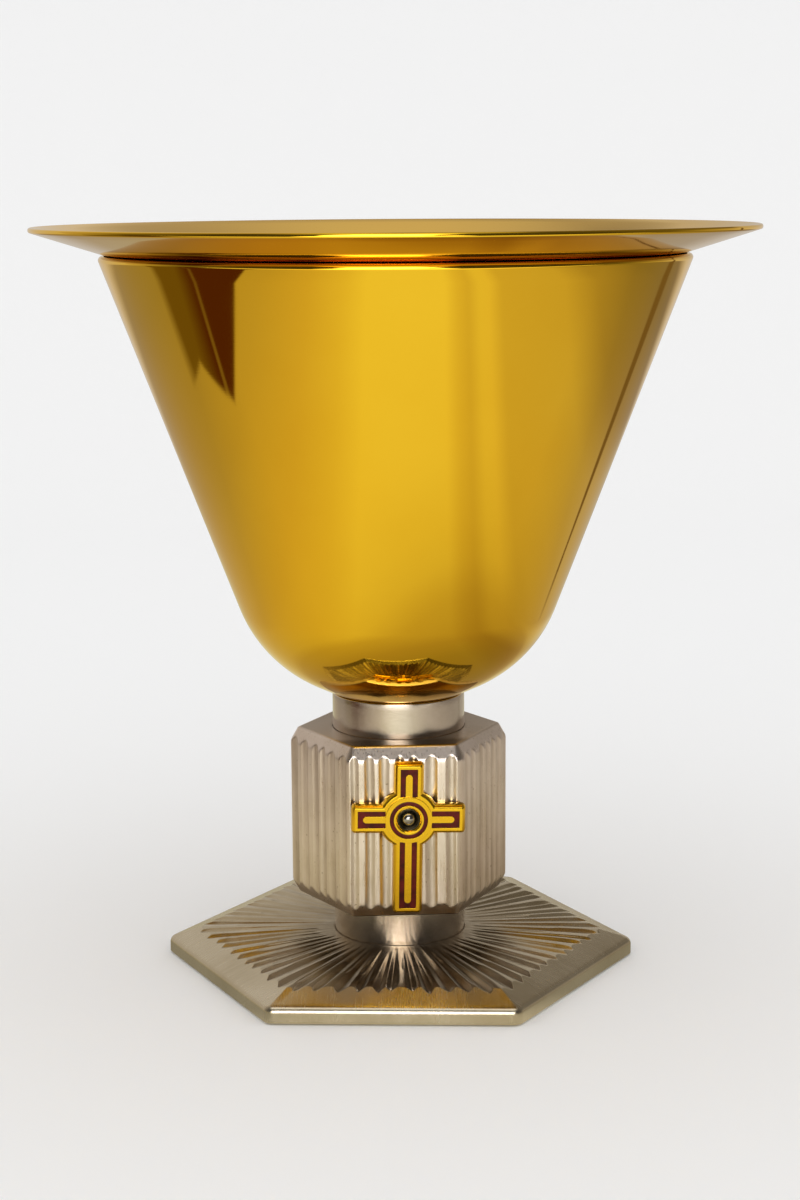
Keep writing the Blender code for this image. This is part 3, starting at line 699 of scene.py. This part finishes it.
def build_knop(material):
    """A hollow six-sided shell: its outline at each height, pushed in by chamfer or flute."""
    columns = 1080
    outline, normals, faces, along = hexagon(KNOP_APOTHEM, KNOP_CORNER_ROUNDING, columns)
    _, around = directions(outline)
    layout = flute_layout()
    chance = random.Random(3)
    sway = [(chance.uniform(0, 6), FLUTE_DEPTH * chance.uniform(0.9, 1.12)) for _ in layout]
    inner_top = KNOP_INSET + 0.8 * MM
    side = spaced(rounded_path([
        (inner_top, KNOP_TOP, 0),
        (KNOP_INSET, KNOP_TOP, 1.3 * MM),
        (0, KNOP_TOP - KNOP_CHAMFER, 3.6 * MM),
        (0, KNOP_BOTTOM + KNOP_CHAMFER, 3.6 * MM),
        (KNOP_INSET, KNOP_BOTTOM, 1.0 * MM),
        (inner_top, KNOP_BOTTOM, 0)]), 0.22 * MM)
    side = thin_straight(side, KNOP_BOTTOM + 5.5 * MM, KNOP_TOP - 5.5 * MM, 1.4 * MM)
    rows = [level_row(around * ROD_HOLE, KNOP_TOP - SEAT_DEPTH)]
    depths = []
    seat = rounded_path([
        (SEAT_RADIUS - 4 * MM, KNOP_TOP - SEAT_DEPTH, 0),
        (SEAT_RADIUS, KNOP_TOP - SEAT_DEPTH, 0.1 * MM),
        (SEAT_RADIUS, KNOP_TOP, 0.2 * MM),
        (SEAT_RADIUS + 1 * MM, KNOP_TOP, 0)])
    rows += [level_row(around * r, z) for r, z in seat]
    first = outline - normals * inner_top
    rim = around * (SEAT_RADIUS + 1 * MM)
    rows += [level_row(rim + (first - rim) * k / 8, KNOP_TOP) for k in range(1, 8)]
    for inset, z in side:
        sink = flute_depth(faces, along, z, layout, sway)
        depth = smooth_max(sink, np.full(columns, inset), 0.22 * MM)
        depth = np.minimum(depth, KNOP_CORNER_ROUNDING - 0.05 * MM)
        rows.append(level_row(outline - normals * depth[:, None], z))
        depths.append(np.where(inset < sink, sink / FLUTE_DEPTH, 0))
    first_side = len(rows) - len(depths)
    cavity_corner, seat_corner, ledge = 28.0 * MM, 29.55 * MM, high("knop_bottom_plate").z + CLEARANCE
    for corner, z in ((seat_corner, KNOP_BOTTOM), (seat_corner, ledge), (cavity_corner, ledge),
                      (cavity_corner, KNOP_CAVITY_TOP)):
        rows.append(hexagon_row(corner * COS_30, 0.5 * MM, columns, z))
    rows.append(level_row(around * ROD_HOLE, KNOP_CAVITY_TOP))
    knop = grid_object("knop_fluted", rows, ring=True)
    mark_depth(knop, first_side * columns, np.concatenate(depths))
    finish_piece(knop, STAND, "satin_nickel", material, "knop_shell")


def mark_depth(piece, first, values):
    """Stores how deep the tool cut at each vertex, from first on, for the material to read."""
    layer = piece.data.attributes.new("depth", "FLOAT", "POINT")
    full = np.zeros(len(piece.data.vertices), np.float32)
    full[first:first + len(values)] = values
    layer.data.foreach_set("value", full)


def thin_straight(path, bottom, top, step):
    """Fewer points along the straight upright part of a path."""
    kept = []
    for point in path:
        straight = bottom < point[1] < top
        if not straight or abs(kept[-1][1] - point[1]) >= step:
            kept.append(point)
    return kept


# ---- foot

def gouge_layout():
    """(angle, start radius, end beyond the border's inner line, width, depth) of each gouge, then of the
    finer strokes between them, which stop well short of the border."""
    chance = random.Random(5)
    layout = []
    for i in range(GOUGES):
        angle = math.tau * (i + 0.5) / GOUGES + chance.uniform(-0.016, 0.016)
        start = chance.uniform(21.5, 26.0) * MM
        width, depth = chance.uniform(3.0, 5.4) * MM, chance.uniform(0.35, 0.70) * MM
        layout.append((angle, start, chance.uniform(-1.5, 1.8) * MM, width, depth))
    for i in range(FINE_STROKES):
        angle = math.tau * i / FINE_STROKES + chance.uniform(-0.02, 0.02)
        start = chance.uniform(21.5, 34.0) * MM
        width, depth = chance.uniform(1.2, 2.6) * MM, chance.uniform(0.16, 0.34) * MM
        layout.append((angle, start, chance.uniform(-17, -3) * MM, width, depth))
    return layout


def gouge_sink(angle, radius, layout):
    """Depth of the gouges at points given by angle and distance from the axis."""
    deepest = np.full(np.broadcast(angle, radius).shape, UNCUT)
    for middle, start, past, width, depth in layout:
        turn = (angle - middle + math.pi) % math.tau - math.pi
        close = np.abs(turn) < GOUGE_SPREAD
        end = BORDER_INNER / np.cos(((middle % (math.pi / 3)) - math.pi / 6)) + past
        share = (radius - start) / (end - start)
        taper = np.clip(0.26 + 0.74 * share, 0.05, 1.0)
        tip = np.clip((end - radius) / GOUGE_TIP, 0, 1)
        round_tip = np.sqrt(np.clip(1 - (1 - tip) ** 2, 0, 1))
        half = width / 2 * taper * np.clip(round_tip, 0.02, 1)
        x = turn * radius / half
        bottom = depth * (0.25 + 0.75 * np.clip(share, 0, 1)) * round_tip
        fade = np.clip((radius - start) / (3 * MM) + 0.3, 0, 1)
        sink = np.where(close & (radius < end), bottom * fade * (1 - x * x), UNCUT)
        deepest = np.maximum(deepest, sink)
    return smooth_max(deepest, np.zeros_like(deepest), 0.05 * MM)


def reed_crown(angle, radius, layout):
    """How far the metal between two gouges swells above the plain cone of the field."""
    valleys = np.array(sorted(line[0] % math.tau for line in layout[:GOUGES]))
    valleys = np.concatenate([[valleys[-1] - math.tau], valleys, [valleys[0] + math.tau]])
    place = angle % math.tau
    k = np.searchsorted(valleys, place)
    share = (place - valleys[k - 1]) / (valleys[k] - valleys[k - 1])
    grow = np.clip((radius - CROWN_START) / (CROWN_FULL - CROWN_START), 0, 1)
    return REED_CROWN * grow * (1 - (2 * share - 1) ** 2)


def build_base(material, border_material):
    """The foot: a field of gouge cuts inside a filed border, a rounded edge, and a hollow underside."""
    columns = 1320
    outline, normals, _, _ = hexagon(BASE_APOTHEM, BASE_CORNER_ROUNDING, columns)
    angle, around = directions(outline)
    across = np.cos((angle % (math.pi / 3)) - math.pi / 6)
    layout = gouge_layout()
    seat_floor = low("lower_collar").z - CLEARANCE
    shoulder = 2.6 * MM
    edge = np.linalg.norm(outline - normals * shoulder, axis=1)
    front = np.clip((math.pi / 6 - np.abs(angle + math.pi / 2)) / 0.03, 0, 1)

    def surface(radius):
        """Height of the gouged field, or of the filed border where that lies lower."""
        sink = gouge_sink(angle, radius, layout)
        field = BORDER_TOP + (BORDER_INNER - radius * across) * FIELD_RISE
        field = field - sink + reed_crown(angle, radius, layout)
        border = BASE_EDGE_TOP + (BASE_APOTHEM - radius * across) * BORDER_RISE
        border = border - FRONT_SLOPE_LOSS * front * (edge - radius)
        return np.minimum(field, border), sink / (0.9 * MM), field > border

    rows = [level_row(around * r, seat_floor) for r in (ROD_HOLE, SEAT_RADIUS - 2 * MM, SEAT_RADIUS)]
    seat_rows = len(rows)
    line = BORDER_INNER / across - 3.5 * MM
    steps = [SEAT_RADIUS + (line - SEAT_RADIUS) * k / FIELD_ROWS for k in range(FIELD_ROWS + 1)]
    steps += [line + (edge - line) * k / BORDER_ROWS for k in range(1, BORDER_ROWS + 1)]
    depths, filed = [], []
    for radius in steps:
        height, depth, is_border = surface(radius)
        depths.append(depth)
        filed.append(is_border)
        rows.append(level_row(around * radius[:, None], height))
    surface_end = len(rows)
    rounding = rounded_path([
        (shoulder, BASE_EDGE_TOP + shoulder * BORDER_RISE, 0), (0, BASE_EDGE_TOP, 2.3 * MM),
        (0, METAL_BOTTOM, 0.35 * MM), (1.2 * MM, METAL_BOTTOM, 0)])[1:]
    rows += [level_row(outline - normals * inset, z) for inset, z in spaced(rounding, 0.8 * MM)]
    upright_end = len(rows)
    rebate_top = high("felt_pad").z + CLEARANCE
    for apothem, z in (
            (FELT_OUTER + CLEARANCE, METAL_BOTTOM), (FELT_OUTER + CLEARANCE, rebate_top),
            (FELT_INNER - CLEARANCE, rebate_top), (FELT_INNER - CLEARANCE, METAL_BOTTOM),
            (RIM_INNER, METAL_BOTTOM), (RIM_INNER - 0.3 * MM, METAL_BOTTOM + 0.3 * MM), *UNDERSIDE):
        rows.append(hexagon_row(apothem, 2.0 * MM, columns, z))
    rows.append(level_row(around * ROD_HOLE, UNDERSIDE[-1][1]))
    base = grid_object("base_gouged", rows, ring=True)
    mark_depth(base, seat_rows * columns, np.concatenate(depths))
    base.data.transform(Matrix.Rotation(BASE_TURN, 4, "Z"))
    finish_piece(base, STAND, "satin_nickel", material, "base_shell")
    base.data.materials.append(border_material)
    index = np.zeros(len(base.data.polygons), np.int32)
    index[seat_rows * columns:surface_end * columns] = np.concatenate(filed)
    index[surface_end * columns:upright_end * columns] = 1
    base.data.polygons.foreach_set("material_index", index)


def build_felt(material):
    """A flat strip of felt with soft, slightly ragged edges."""
    columns = 360
    chance = np.random.default_rng(4)
    rows = []

    def ragged_row(apothem, rounding, z):
        row = hexagon_row(apothem, rounding, columns, z)
        row[:, :2] += chance.normal(0, FELT_FLUFF, (columns, 2))
        rows.append(row)

    top = high("felt_pad").z
    steps = [(0.25, top), (0.0, top - 0.25 * MM), (0.0, 0.25 * MM), (0.25, 0.0)]
    for inset, z in steps:
        ragged_row(FELT_OUTER - inset * MM, 2.6 * MM, z)
    for share in (0.25, 0.5, 0.75):
        rows.append(hexagon_row(FELT_OUTER + (FELT_INNER - FELT_OUTER) * share, 2.3 * MM, columns, 0.0))
    for inset, z in reversed(steps):
        ragged_row(FELT_INNER + inset * MM, 2.0 * MM, z)
    felt = grid_object("felt_strip", rows, ring=True)
    felt.data.transform(Matrix.Rotation(BASE_TURN, 4, "Z"))
    finish_piece(felt, STAND, "felt", material, "felt_pad")


# ---- cross

CROSS_TILT = math.radians(1.1)
CROSS_SPOT = Vector((0.8 * MM, CROSS_BACK, 53.8 * MM))
ARM_HALF = 4.6 * MM
ARM_REACH = {"right": 17.4 * MM, "top": 17.6 * MM, "left": 17.4 * MM, "bottom": 29.8 * MM}
ARM_ANGLE = {"top": 0, "right": 90, "bottom": 180, "left": 270}
CROSS_THICKNESS = 3.4 * MM
SIDE_HEIGHT = 1.2 * MM
ARM_ROUNDING = 1.3 * MM
WEB_RADIUS = 9.4 * MM
# How far each step of the rounded shoulder goes in and up, in millimetres.
SHOULDER_STEPS = ((0.16, 0.8), (0.22, 0.6), (0.28, 0.42), (0.28, 0.26), (0.24, 0.12))
RING_FACE = CROSS_THICKNESS + 0.6 * MM
RING_RADIUS = 7.1 * MM
GROOVE_OUTER, GROOVE_INNER = 5.8 * MM, 4.55 * MM
ENAMEL_DEPTH = 0.9 * MM
CUTTER_TOP = 6 * MM


def cross_place(angle=0.0):
    """From the cross's own frame, face towards -Y, to its place on the knop."""
    return (Matrix.Translation(CROSS_SPOT) @ Matrix.Rotation(CROSS_TILT, 4, "Y")
            @ Matrix.Rotation(math.radians(angle), 4, "Y"))


def cross_outline():
    """Four arms with rounded ends, joined round the centre by arcs."""
    points = []
    open_angle = math.asin(ARM_HALF / WEB_RADIUS)
    for quarter, place in enumerate(("right", "top", "left", "bottom")):
        turn_by = Matrix.Rotation(quarter * math.pi / 2, 2)
        for side in (-1, 1):
            corner = Vector((ARM_REACH[place] - ARM_ROUNDING, side * (ARM_HALF - ARM_ROUNDING)))
            for k in range(5):
                lean = math.pi / 8 * (k if side == 1 else 4 - k)
                bend = Vector((math.cos(lean), side * math.sin(lean))) * ARM_ROUNDING
                points.append(turn_by @ (corner + bend))
        for k in range(9):
            angle = open_angle + (math.pi / 2 - 2 * open_angle) * k / 8
            points.append(turn_by @ Vector((math.cos(angle), math.sin(angle))) * WEB_RADIUS)
    return points


def enamel_outline(length, grow=0.0):
    """U channel along +Z, open towards the ring, round a tongue with a round end."""
    start, wall, tongue = 7.0 * MM, 1.95 * MM, 1.02 * MM
    outer, inner = 2.62 * MM + grow, tongue - grow
    end = length - wall + grow
    tip = length - wall - 1.6 * MM - tongue
    points = [(-outer, start), (-outer, end), (outer, end), (outer, start), (inner, start)]
    for k in range(13):
        angle = math.pi * k / 12
        points.append((inner * math.cos(angle), tip + inner * math.sin(angle)))
    points.append((-inner, start))
    return points


def facing_disc(name, path, columns=128, ring=False):
    """A turned piece whose axis comes out of the cross's face; its path's z is the height over the back."""
    piece = revolve(name, path, columns, ring)
    piece.data.transform(Matrix.Rotation(math.pi / 2, 4, "X"))
    return piece


def turned_blank(*outline, columns=128, ring=False):
    """A turned shape to add or cut away, from (r, z) points. Different numbers of columns keep the
    corners of two such shapes apart, which a boolean needs."""
    return facing_disc("blank", [Vector(point) for point in outline], columns, ring)


def arm_plate(name, reach, grow, front, start):
    """What fills the U channel of an arm up to the height front, from the radius start outwards."""
    shape, _ = thick_shape(enamel_outline(reach, grow), front, CROSS_THICKNESS - ENAMEL_DEPTH)
    piece = from_bmesh(name, shape)
    boolean(piece, turned_blank((0, CUTTER_TOP), (start, CUTTER_TOP), (start, 0), (0, 0), columns=121))
    return piece


def build_cross(gold, enamel, setting, stone):
    """A cast cross with rounded shoulders and a raised ring, hollowed for the enamel and the stone."""
    shape, front = thick_shape(cross_outline(), SIDE_HEIGHT, 0)
    for inward, outward in SHOULDER_STEPS:
        bmesh.ops.inset_region(
            shape, faces=front, thickness=inward * MM, depth=outward * MM, use_even_offset=True)
    body = from_bmesh("cross_casting", shape)
    disc_back = SIDE_HEIGHT - 0.23 * MM
    disc = turned_blank(
        (0, RING_FACE), (RING_RADIUS, RING_FACE), (RING_RADIUS, disc_back), (0, disc_back))
    boolean(body, disc, "UNION")
    for place, reach in ARM_REACH.items():
        pocket = arm_plate("pocket", reach, 0.0, CROSS_THICKNESS + MM, RING_RADIUS + 0.07 * MM)
        pocket.data.transform(Matrix.Rotation(math.radians(ARM_ANGLE[place]), 4, "Y"))
        boolean(body, pocket)
    groove_floor = RING_FACE - 0.8 * MM
    boolean(body, turned_blank(
        (GROOVE_OUTER, CUTTER_TOP), (GROOVE_OUTER, groove_floor), (GROOVE_INNER, groove_floor),
        (GROOVE_INNER, CUTTER_TOP), ring=True))
    well_top, well_floor, well_radius = 5.7 * MM, 0.9 * MM, 3.45 * MM
    boolean(body, turned_blank(
        (0, well_top), (4.3 * MM, well_top), (4.3 * MM, RING_FACE + 0.3 * MM),
        (well_radius, RING_FACE - 0.5 * MM), (well_radius, well_floor), (0, well_floor), columns=119))
    round_edges(body, 0.16 * MM, 2, 24)
    body.data.transform(cross_place())
    finish_piece(body, STAND, "polished_gold", gold, "cross_body")
    build_enamel(enamel)
    build_stone(setting, stone)


def build_enamel(material):
    """Enamel just below the gold that surrounds it: a U in each arm, and a ring in the groove."""
    for place, reach in ARM_REACH.items():
        inlay = arm_plate("enamel_" + place, reach, -0.01 * MM, CROSS_THICKNESS - 0.16 * MM,
                          RING_RADIUS + 0.1 * MM)
        round_edges(inlay, 0.08 * MM, 2, 40)
        inlay.data.transform(cross_place(ARM_ANGLE[place]))
        finish_piece(inlay, STAND, "red_enamel", material, "enamel_" + place + "_arm")
    top = RING_FACE - 0.12 * MM
    bottom = top - 0.65 * MM
    outer, inner = GROOVE_OUTER - 0.02 * MM, GROOVE_INNER + 0.02 * MM
    ring = facing_disc("enamel_circle", rounded_path([
        (outer, top, 0.1 * MM), (outer, bottom, 0), (inner, bottom, 0), (inner, top, 0.1 * MM)],
        closed=True), ring=True)
    ring.data.transform(cross_place())
    finish_piece(ring, STAND, "red_enamel", material, "enamel_ring")


def build_stone(setting_look, stone_look):
    """A dark metal bowl sunk in the ring, with a domed stone standing in it."""
    floor, lip, back = 1.9 * MM, RING_FACE - 0.55 * MM, 1.1 * MM
    bowl = facing_disc("setting_bowl", spaced(rounded_path([
        (0, floor, 0), (1.7 * MM, floor, 0.4 * MM), (3.05 * MM, lip, 0.2 * MM), (3.4 * MM, lip, 0.1 * MM),
        (3.4 * MM, back, 0.1 * MM), (0, back, 0)]), 0.5 * MM))
    bowl.data.transform(cross_place())
    finish_piece(bowl, STAND, "dark_silver", setting_look, "stone_setting")
    base, girdle, top, radius = 2.0 * MM, 2.25 * MM, 3.85 * MM, 2.15 * MM
    dome = [Vector((0, top))]
    for k in range(1, 25):
        angle = math.pi / 2 * (1 - k / 24)
        dome.append(Vector((radius * math.cos(angle), girdle + (top - girdle) * math.sin(angle))))
    dome += [Vector((radius, base)), Vector((0, base))]
    cabochon = facing_disc("cabochon", dome, 96)
    cabochon.data.transform(cross_place())
    finish_piece(cabochon, STAND, "stone", stone_look, "stone")


# ---- fastenings under the foot

def build_fastenings(steel):
    """Turned washers with broken edges; the other fastenings keep their CAD shapes."""
    for node, outer in (("clamp_washer", 14 * MM), ("lock_washer", 5.5 * MM)):
        bottom, top = low(node).z, high(node).z
        path = rounded_path([
            (outer, top, 0.2 * MM), (outer, bottom, 0.3 * MM), (ROD_HOLE, bottom, 0.1 * MM),
            (ROD_HOLE, top, 0.1 * MM)], closed=True)
        washer = revolve(node + "_turned", path, 96, ring=True)
        finish_piece(washer, STAND, "steel", steel, node)
    for node in ("tie_rod", "upper_centring_disc", "lower_centring_disc", "clamp_nut", "cross_stud_upper",
                 "cross_stud_lower", "cross_nut_upper", "cross_nut_lower"):
        recoat(node, steel)


def recoat(node, material):
    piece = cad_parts[node]
    piece.data.materials.clear()
    piece.data.materials.append(material)


# ---- studio

FLOOR_FRONT, FLOOR_HALF_WIDTH = -2.5, 2.2
WALL_START, WALL_CURVE, WALL_TOP = 0.9, 0.8, 2.6
# The light of the table that the polished metal reflects, from left to right of the font (x in metres).
TABLE_REACH = 0.6
TABLE_BANDS = (
    (-0.50, (0.42, 0.37, 0.31)), (-0.30, (0.53, 0.46, 0.37)), (-0.20, (0.66, 0.57, 0.40)),
    (-0.13, (0.77, 0.71, 0.48)), (-0.08, (0.88, 0.86, 0.62)), (0.08, (0.88, 0.87, 0.68)),
    (0.105, (0.76, 0.71, 0.52)), (0.128, (0.69, 0.63, 0.47)), (0.152, (0.80, 0.77, 0.60)),
    (0.172, (0.80, 0.76, 0.60)), (0.20, (0.65, 0.59, 0.47)), (0.34, (0.60, 0.54, 0.44)),
    (0.42, (0.42, 0.36, 0.30)), (0.60, (0.31, 0.27, 0.23)))
# How much of it is left in the foot's shade, by distance from the middle of the shade.
SHADE_X, SHADE_REACH = 0.04, 0.4
FOOT_SHADE = (
    (0.0, (0.34, 0.28, 0.22)), (0.06, (0.38, 0.32, 0.26)), (0.10, (0.47, 0.39, 0.34)),
    (0.14, (0.63, 0.555, 0.47)), (0.16, (0.80, 0.75, 0.66)), (0.18, (0.88, 0.84, 0.76)),
    (0.22, (0.96, 0.93, 0.88)), (0.30, (1.0, 1.0, 1.0)))
# Brightness of the reflected room by bearing, near the horizon and higher up.
ROOM_LOW = ((-180, 0.58), (-125, 0.55), (-112, 0.42), (-92, 0.12), (-60, 0.06), (60, 0.06), (88, 0.14),
            (108, 0.42), (125, 0.55), (180, 0.56))
ROOM_HIGH = ((-180, 0.62), (-120, 0.50), (-90, 0.25), (-60, 0.08), (60, 0.08), (90, 0.14), (130, 0.20),
             (160, 0.24), (180, 0.26))
WINDOW_LIGHT, CEILING_LIGHT = 5.4, 1.2


def build_sweep():
    """Flat under the font, curving up into a wall far behind it."""
    shape = bmesh.new()
    profile = [(FLOOR_FRONT, 0.0), (WALL_START, 0.0)]
    for k in range(1, 17):
        angle = math.pi / 2 * k / 16
        profile.append((WALL_START + WALL_CURVE * math.sin(angle), WALL_CURVE * (1 - math.cos(angle))))
    profile.append((WALL_START + WALL_CURVE, WALL_TOP))
    left = [shape.verts.new((-FLOOR_HALF_WIDTH, y, z)) for y, z in profile]
    right = [shape.verts.new((FLOOR_HALF_WIDTH, y, z)) for y, z in profile]
    for k in range(len(profile) - 1):
        shape.faces.new((left[k], right[k], right[k + 1], left[k + 1]))
    floor = from_bmesh("floor", shape)
    floor.data.shade_smooth()
    return floor


def table_light(s, x, y):
    bands = s.graded(x, -TABLE_REACH, TABLE_REACH, TABLE_BANDS)
    shade = s.graded(s.length(s.math("SUBTRACT", x, SHADE_X), y), 0.0, SHADE_REACH, FOOT_SHADE)
    shade = s.mix(1.0, shade, s.range(y, -0.08, 0.10, 1, 0.80), "MULTIPLY")
    return s.mix(1.0, bands, shade, "MULTIPLY")


def wall_light(s, x, z):
    """Light of the wall, with a dim patch behind the font and another high on the right."""
    behind = s.product(s.range(z, 0.12, 0.35, 0, 1), s.range(z, 0.9, 1.4, 1, 0),
                       s.range(x, -0.10, 0.13, 0, 1), s.range(x, 0.14, 0.24, 1, 0.2))
    right = s.product(s.range(x, 0.40, 0.55, 0, 1), s.range(z, 0.9, 1.2, 0, 1))
    return s.mix(s.math("MAXIMUM", behind, right), (0.62, 0.57, 0.50), (0.17, 0.14, 0.10))


def front_light(s, x, y, table):
    """The table, a bright strip in front of it, and beyond that the dark with a bright window's patch."""
    seen = s.mix(s.range(y, -0.36, -0.46, 0, 1), table, (1.35, 1.25, 1.05))
    in_window = s.range(s.away(s.bearing(x, y), -7.0), 20, 27, 1, 0)
    far = s.mix(in_window, (0.06, 0.05, 0.04), (2.6, 2.5, 2.3))
    return s.mix(s.range(y, -0.60, -0.75, 0, 1), seen, far)


def table_joint(s, x, y):
    """1 in a thin dark line of painted reflection across the table, which starts to the right of the font and
    runs back.
    """
    across = s.away(s.math("MULTIPLY_ADD", x, -0.76, y), -0.020)
    half = s.range(x, 0.28, 0.60, 0.008, 0.045)
    line = s.range(s.math("DIVIDE", across, half), 0.8, 1.3, 1, 0)
    return s.product(line, s.range(x, 0.20, 0.26, 0, 1))


def dark_neighbour_reflection(s, x, y):
    """1 where the painted reflection shows something dark brown standing on the left of the font, out of
    view, with a slit in it.
    """
    corner_x, corner_y = -0.312, -0.044
    ahead = s.math("MAXIMUM", s.math("SUBTRACT", corner_y, y), 0.0)
    back = s.math("MINIMUM", s.math("MAXIMUM", s.math("SUBTRACT", y, corner_y), 0.0), 0.09)
    edge = s.math("MULTIPLY_ADD", ahead, 0.27, s.product(back, 0.8))
    front = s.range(s.math("SUBTRACT", s.math("SUBTRACT", corner_x, x), edge), 0.0, 0.006, 0, 1)
    rear = s.range(s.math("SUBTRACT", s.math("MULTIPLY_ADD", x, -0.42, -0.05), y), -0.01, 0.03, 0, 1)
    slit = s.range(s.away(y, -0.03), 0.003, 0.007, 0.72, 1)
    return s.product(front, rear, slit, s.range(y, -0.30, -0.24, 0, 1))


def build_floor():
    """White paper; in reflections it is black, with the light of a darker table and room laid on it."""
    floor = build_sweep()
    s = Shade("paper")
    x, y, z = s.split(s.place)
    seen = s.mix(s.range(y, 0.75, 1.1, 0, 1), table_light(s, x, y), wall_light(s, x, z))
    seen = front_light(s, x, y, seen)
    dark = s.mix(s.range(y, -0.02, 0.04, 0, 1), (0.075, 0.022, 0.006), (0.15, 0.105, 0.03))
    seen = s.mix(dark_neighbour_reflection(s, x, y), seen, dark)
    seen = s.mix(table_joint(s, x, y), seen, (0.17, 0.12, 0.06))
    light_path = s.node("ShaderNodeLightPath").outputs
    reflected = light_path["Is Glossy Ray"]
    # Painted light for reflections seen from close by, as on the foot's upright edge: brighter in front of
    # the front facet, dimmer to the sides.
    close = s.mix(s.range(s.away(x), 0.036, 0.052, 0, 1), (0.64, 0.58, 0.43), (0.34, 0.31, 0.23))
    seen = s.mix(s.range(light_path["Ray Length"], 0.025, 0.04, 1, 0), seen, close)
    grain = s.noise(s.place, 900)
    s.set(Base_Color=s.mix(reflected, (0.90, 0.90, 0.90), (0, 0, 0)), Roughness=0.9, Specular_IOR_Level=0.0,
          Emission_Color=seen, Emission_Strength=reflected, Normal=s.bump(grain, 0.1, 0.0003))
    floor.data.materials.append(s.material)


def build_world():
    """Even light for matt surfaces; shiny ones see a dim room with a window and a lit ceiling in front."""
    world = bpy.data.worlds.new("studio")
    bpy.context.scene.world = world
    world.use_nodes = True
    s = Nodes(world.node_tree)
    background = s.tree.nodes["Background"]
    sky = s.node("ShaderNodeTexCoord").outputs["Generated"]
    x, y, z = s.split(sky)
    angle = s.bearing(x, y)
    height = s.math("DEGREES", s.math("ARCSINE", z))
    room_low = s.graded(angle, -180, 180, ROOM_LOW)
    room_high = s.graded(angle, -180, 180, ROOM_HIGH)
    room = s.mix(s.range(height, 2, 14, 0, 1), room_low, room_high)
    middle = s.range(height, 8, 22, -9.0, 1.0)
    window = s.product(s.range(s.away(angle, middle), 12, 18, 1, 0), s.range(height, 22, 30, 1, 0))
    ceiling = s.product(s.range(s.away(angle), 45, 65, 1, 0), s.range(height, 50, 56, 0, 1),
                        s.range(height, 76, 84, 1, 0))
    mirrored = s.math("MULTIPLY_ADD", window, WINDOW_LIGHT, room)
    mirrored = s.math("MULTIPLY_ADD", ceiling, CEILING_LIGHT, mirrored)
    even = s.range(s.vector("DOT_PRODUCT", sky, Vector((0.2, -0.6, 1)).normalized()), -1, 1, 0.70, 1.08)
    reflected = s.node("ShaderNodeLightPath").outputs["Is Glossy Ray"]
    strength = s.math("MULTIPLY_ADD", reflected, s.math("SUBTRACT", mirrored, even), even)
    s.plug(background.inputs["Strength"], strength)
    warm = s.mix(s.range(s.away(angle), 30, 60, 0, 1), (1, 0.98, 0.93), (1.0, 0.87, 0.70))
    s.plug(background.inputs["Color"], s.mix(reflected, (1, 1, 1), warm))


VIEW_TURN = math.radians(-3.66)
CAMERA_DISTANCE, CAMERA_HEIGHT = 0.6922, 0.2434
CAMERA_PITCH = math.radians(10.49)
CAMERA_ROLL = math.radians(0.35)
LENS = 67.7


def build_camera():
    data = bpy.data.cameras.new("camera")
    data.lens = LENS
    data.sensor_fit = "VERTICAL"
    data.sensor_height = 36
    data.clip_start = 0.01
    camera = bpy.data.objects.new("camera", data)
    bpy.context.scene.collection.objects.link(camera)
    camera.matrix_world = (
        Matrix.Rotation(VIEW_TURN, 4, "Z")
        @ Matrix.Translation((0.0007, -CAMERA_DISTANCE, CAMERA_HEIGHT))
        @ Matrix.Rotation(math.pi / 2 - CAMERA_PITCH, 4, "X")
        @ Matrix.Rotation(-CAMERA_ROLL, 4, "Z"))
    bpy.context.scene.camera = camera


# ---- assembly

bpy.context.scene.view_settings.view_transform = "Standard"

mirror_gold = gold_material("mirror_gold")
cast_gold = gold_material("cast_gold", spun=False, roughness=0.13)
steel = steel_material()

build_cup(mirror_gold)
build_basin(gold_material("basin_gold", shade_above=LIP_TOP))
# The tones of these copies of one satin nickel are painted light: most brightened on the knop (1.50), less on
# the collars (1.15) and the foot's border (1.12), least on its gouged field (1.05).
build_collars(nickel_material("turned_nickel", turned_lines, 1.15, 0.17, None, 1.08))
build_knop(nickel_material("fluted_nickel", upright_lines, 1.50, 0.26, flute_patina_and_shade, 1.14))
build_base(nickel_material("gouged_nickel", radial_lines, 1.05, 0.19, collar_shade_and_patina, 0.94),
           nickel_material("brushed_border", border_lines, 1.12, 0.22, None, 0.94))
build_felt(felt_material())
build_cross(cast_gold, enamel_material(), setting_material(), stone_material())
build_fastenings(steel)
recoat("cup_boss", nickel_material("turned_brass", turned_lines, 0.9, 0.36))
recoat("knop_bottom_plate", nickel_material("plate_nickel", turned_lines, 0.95, 0.36))

build_floor()
build_world()
build_camera()
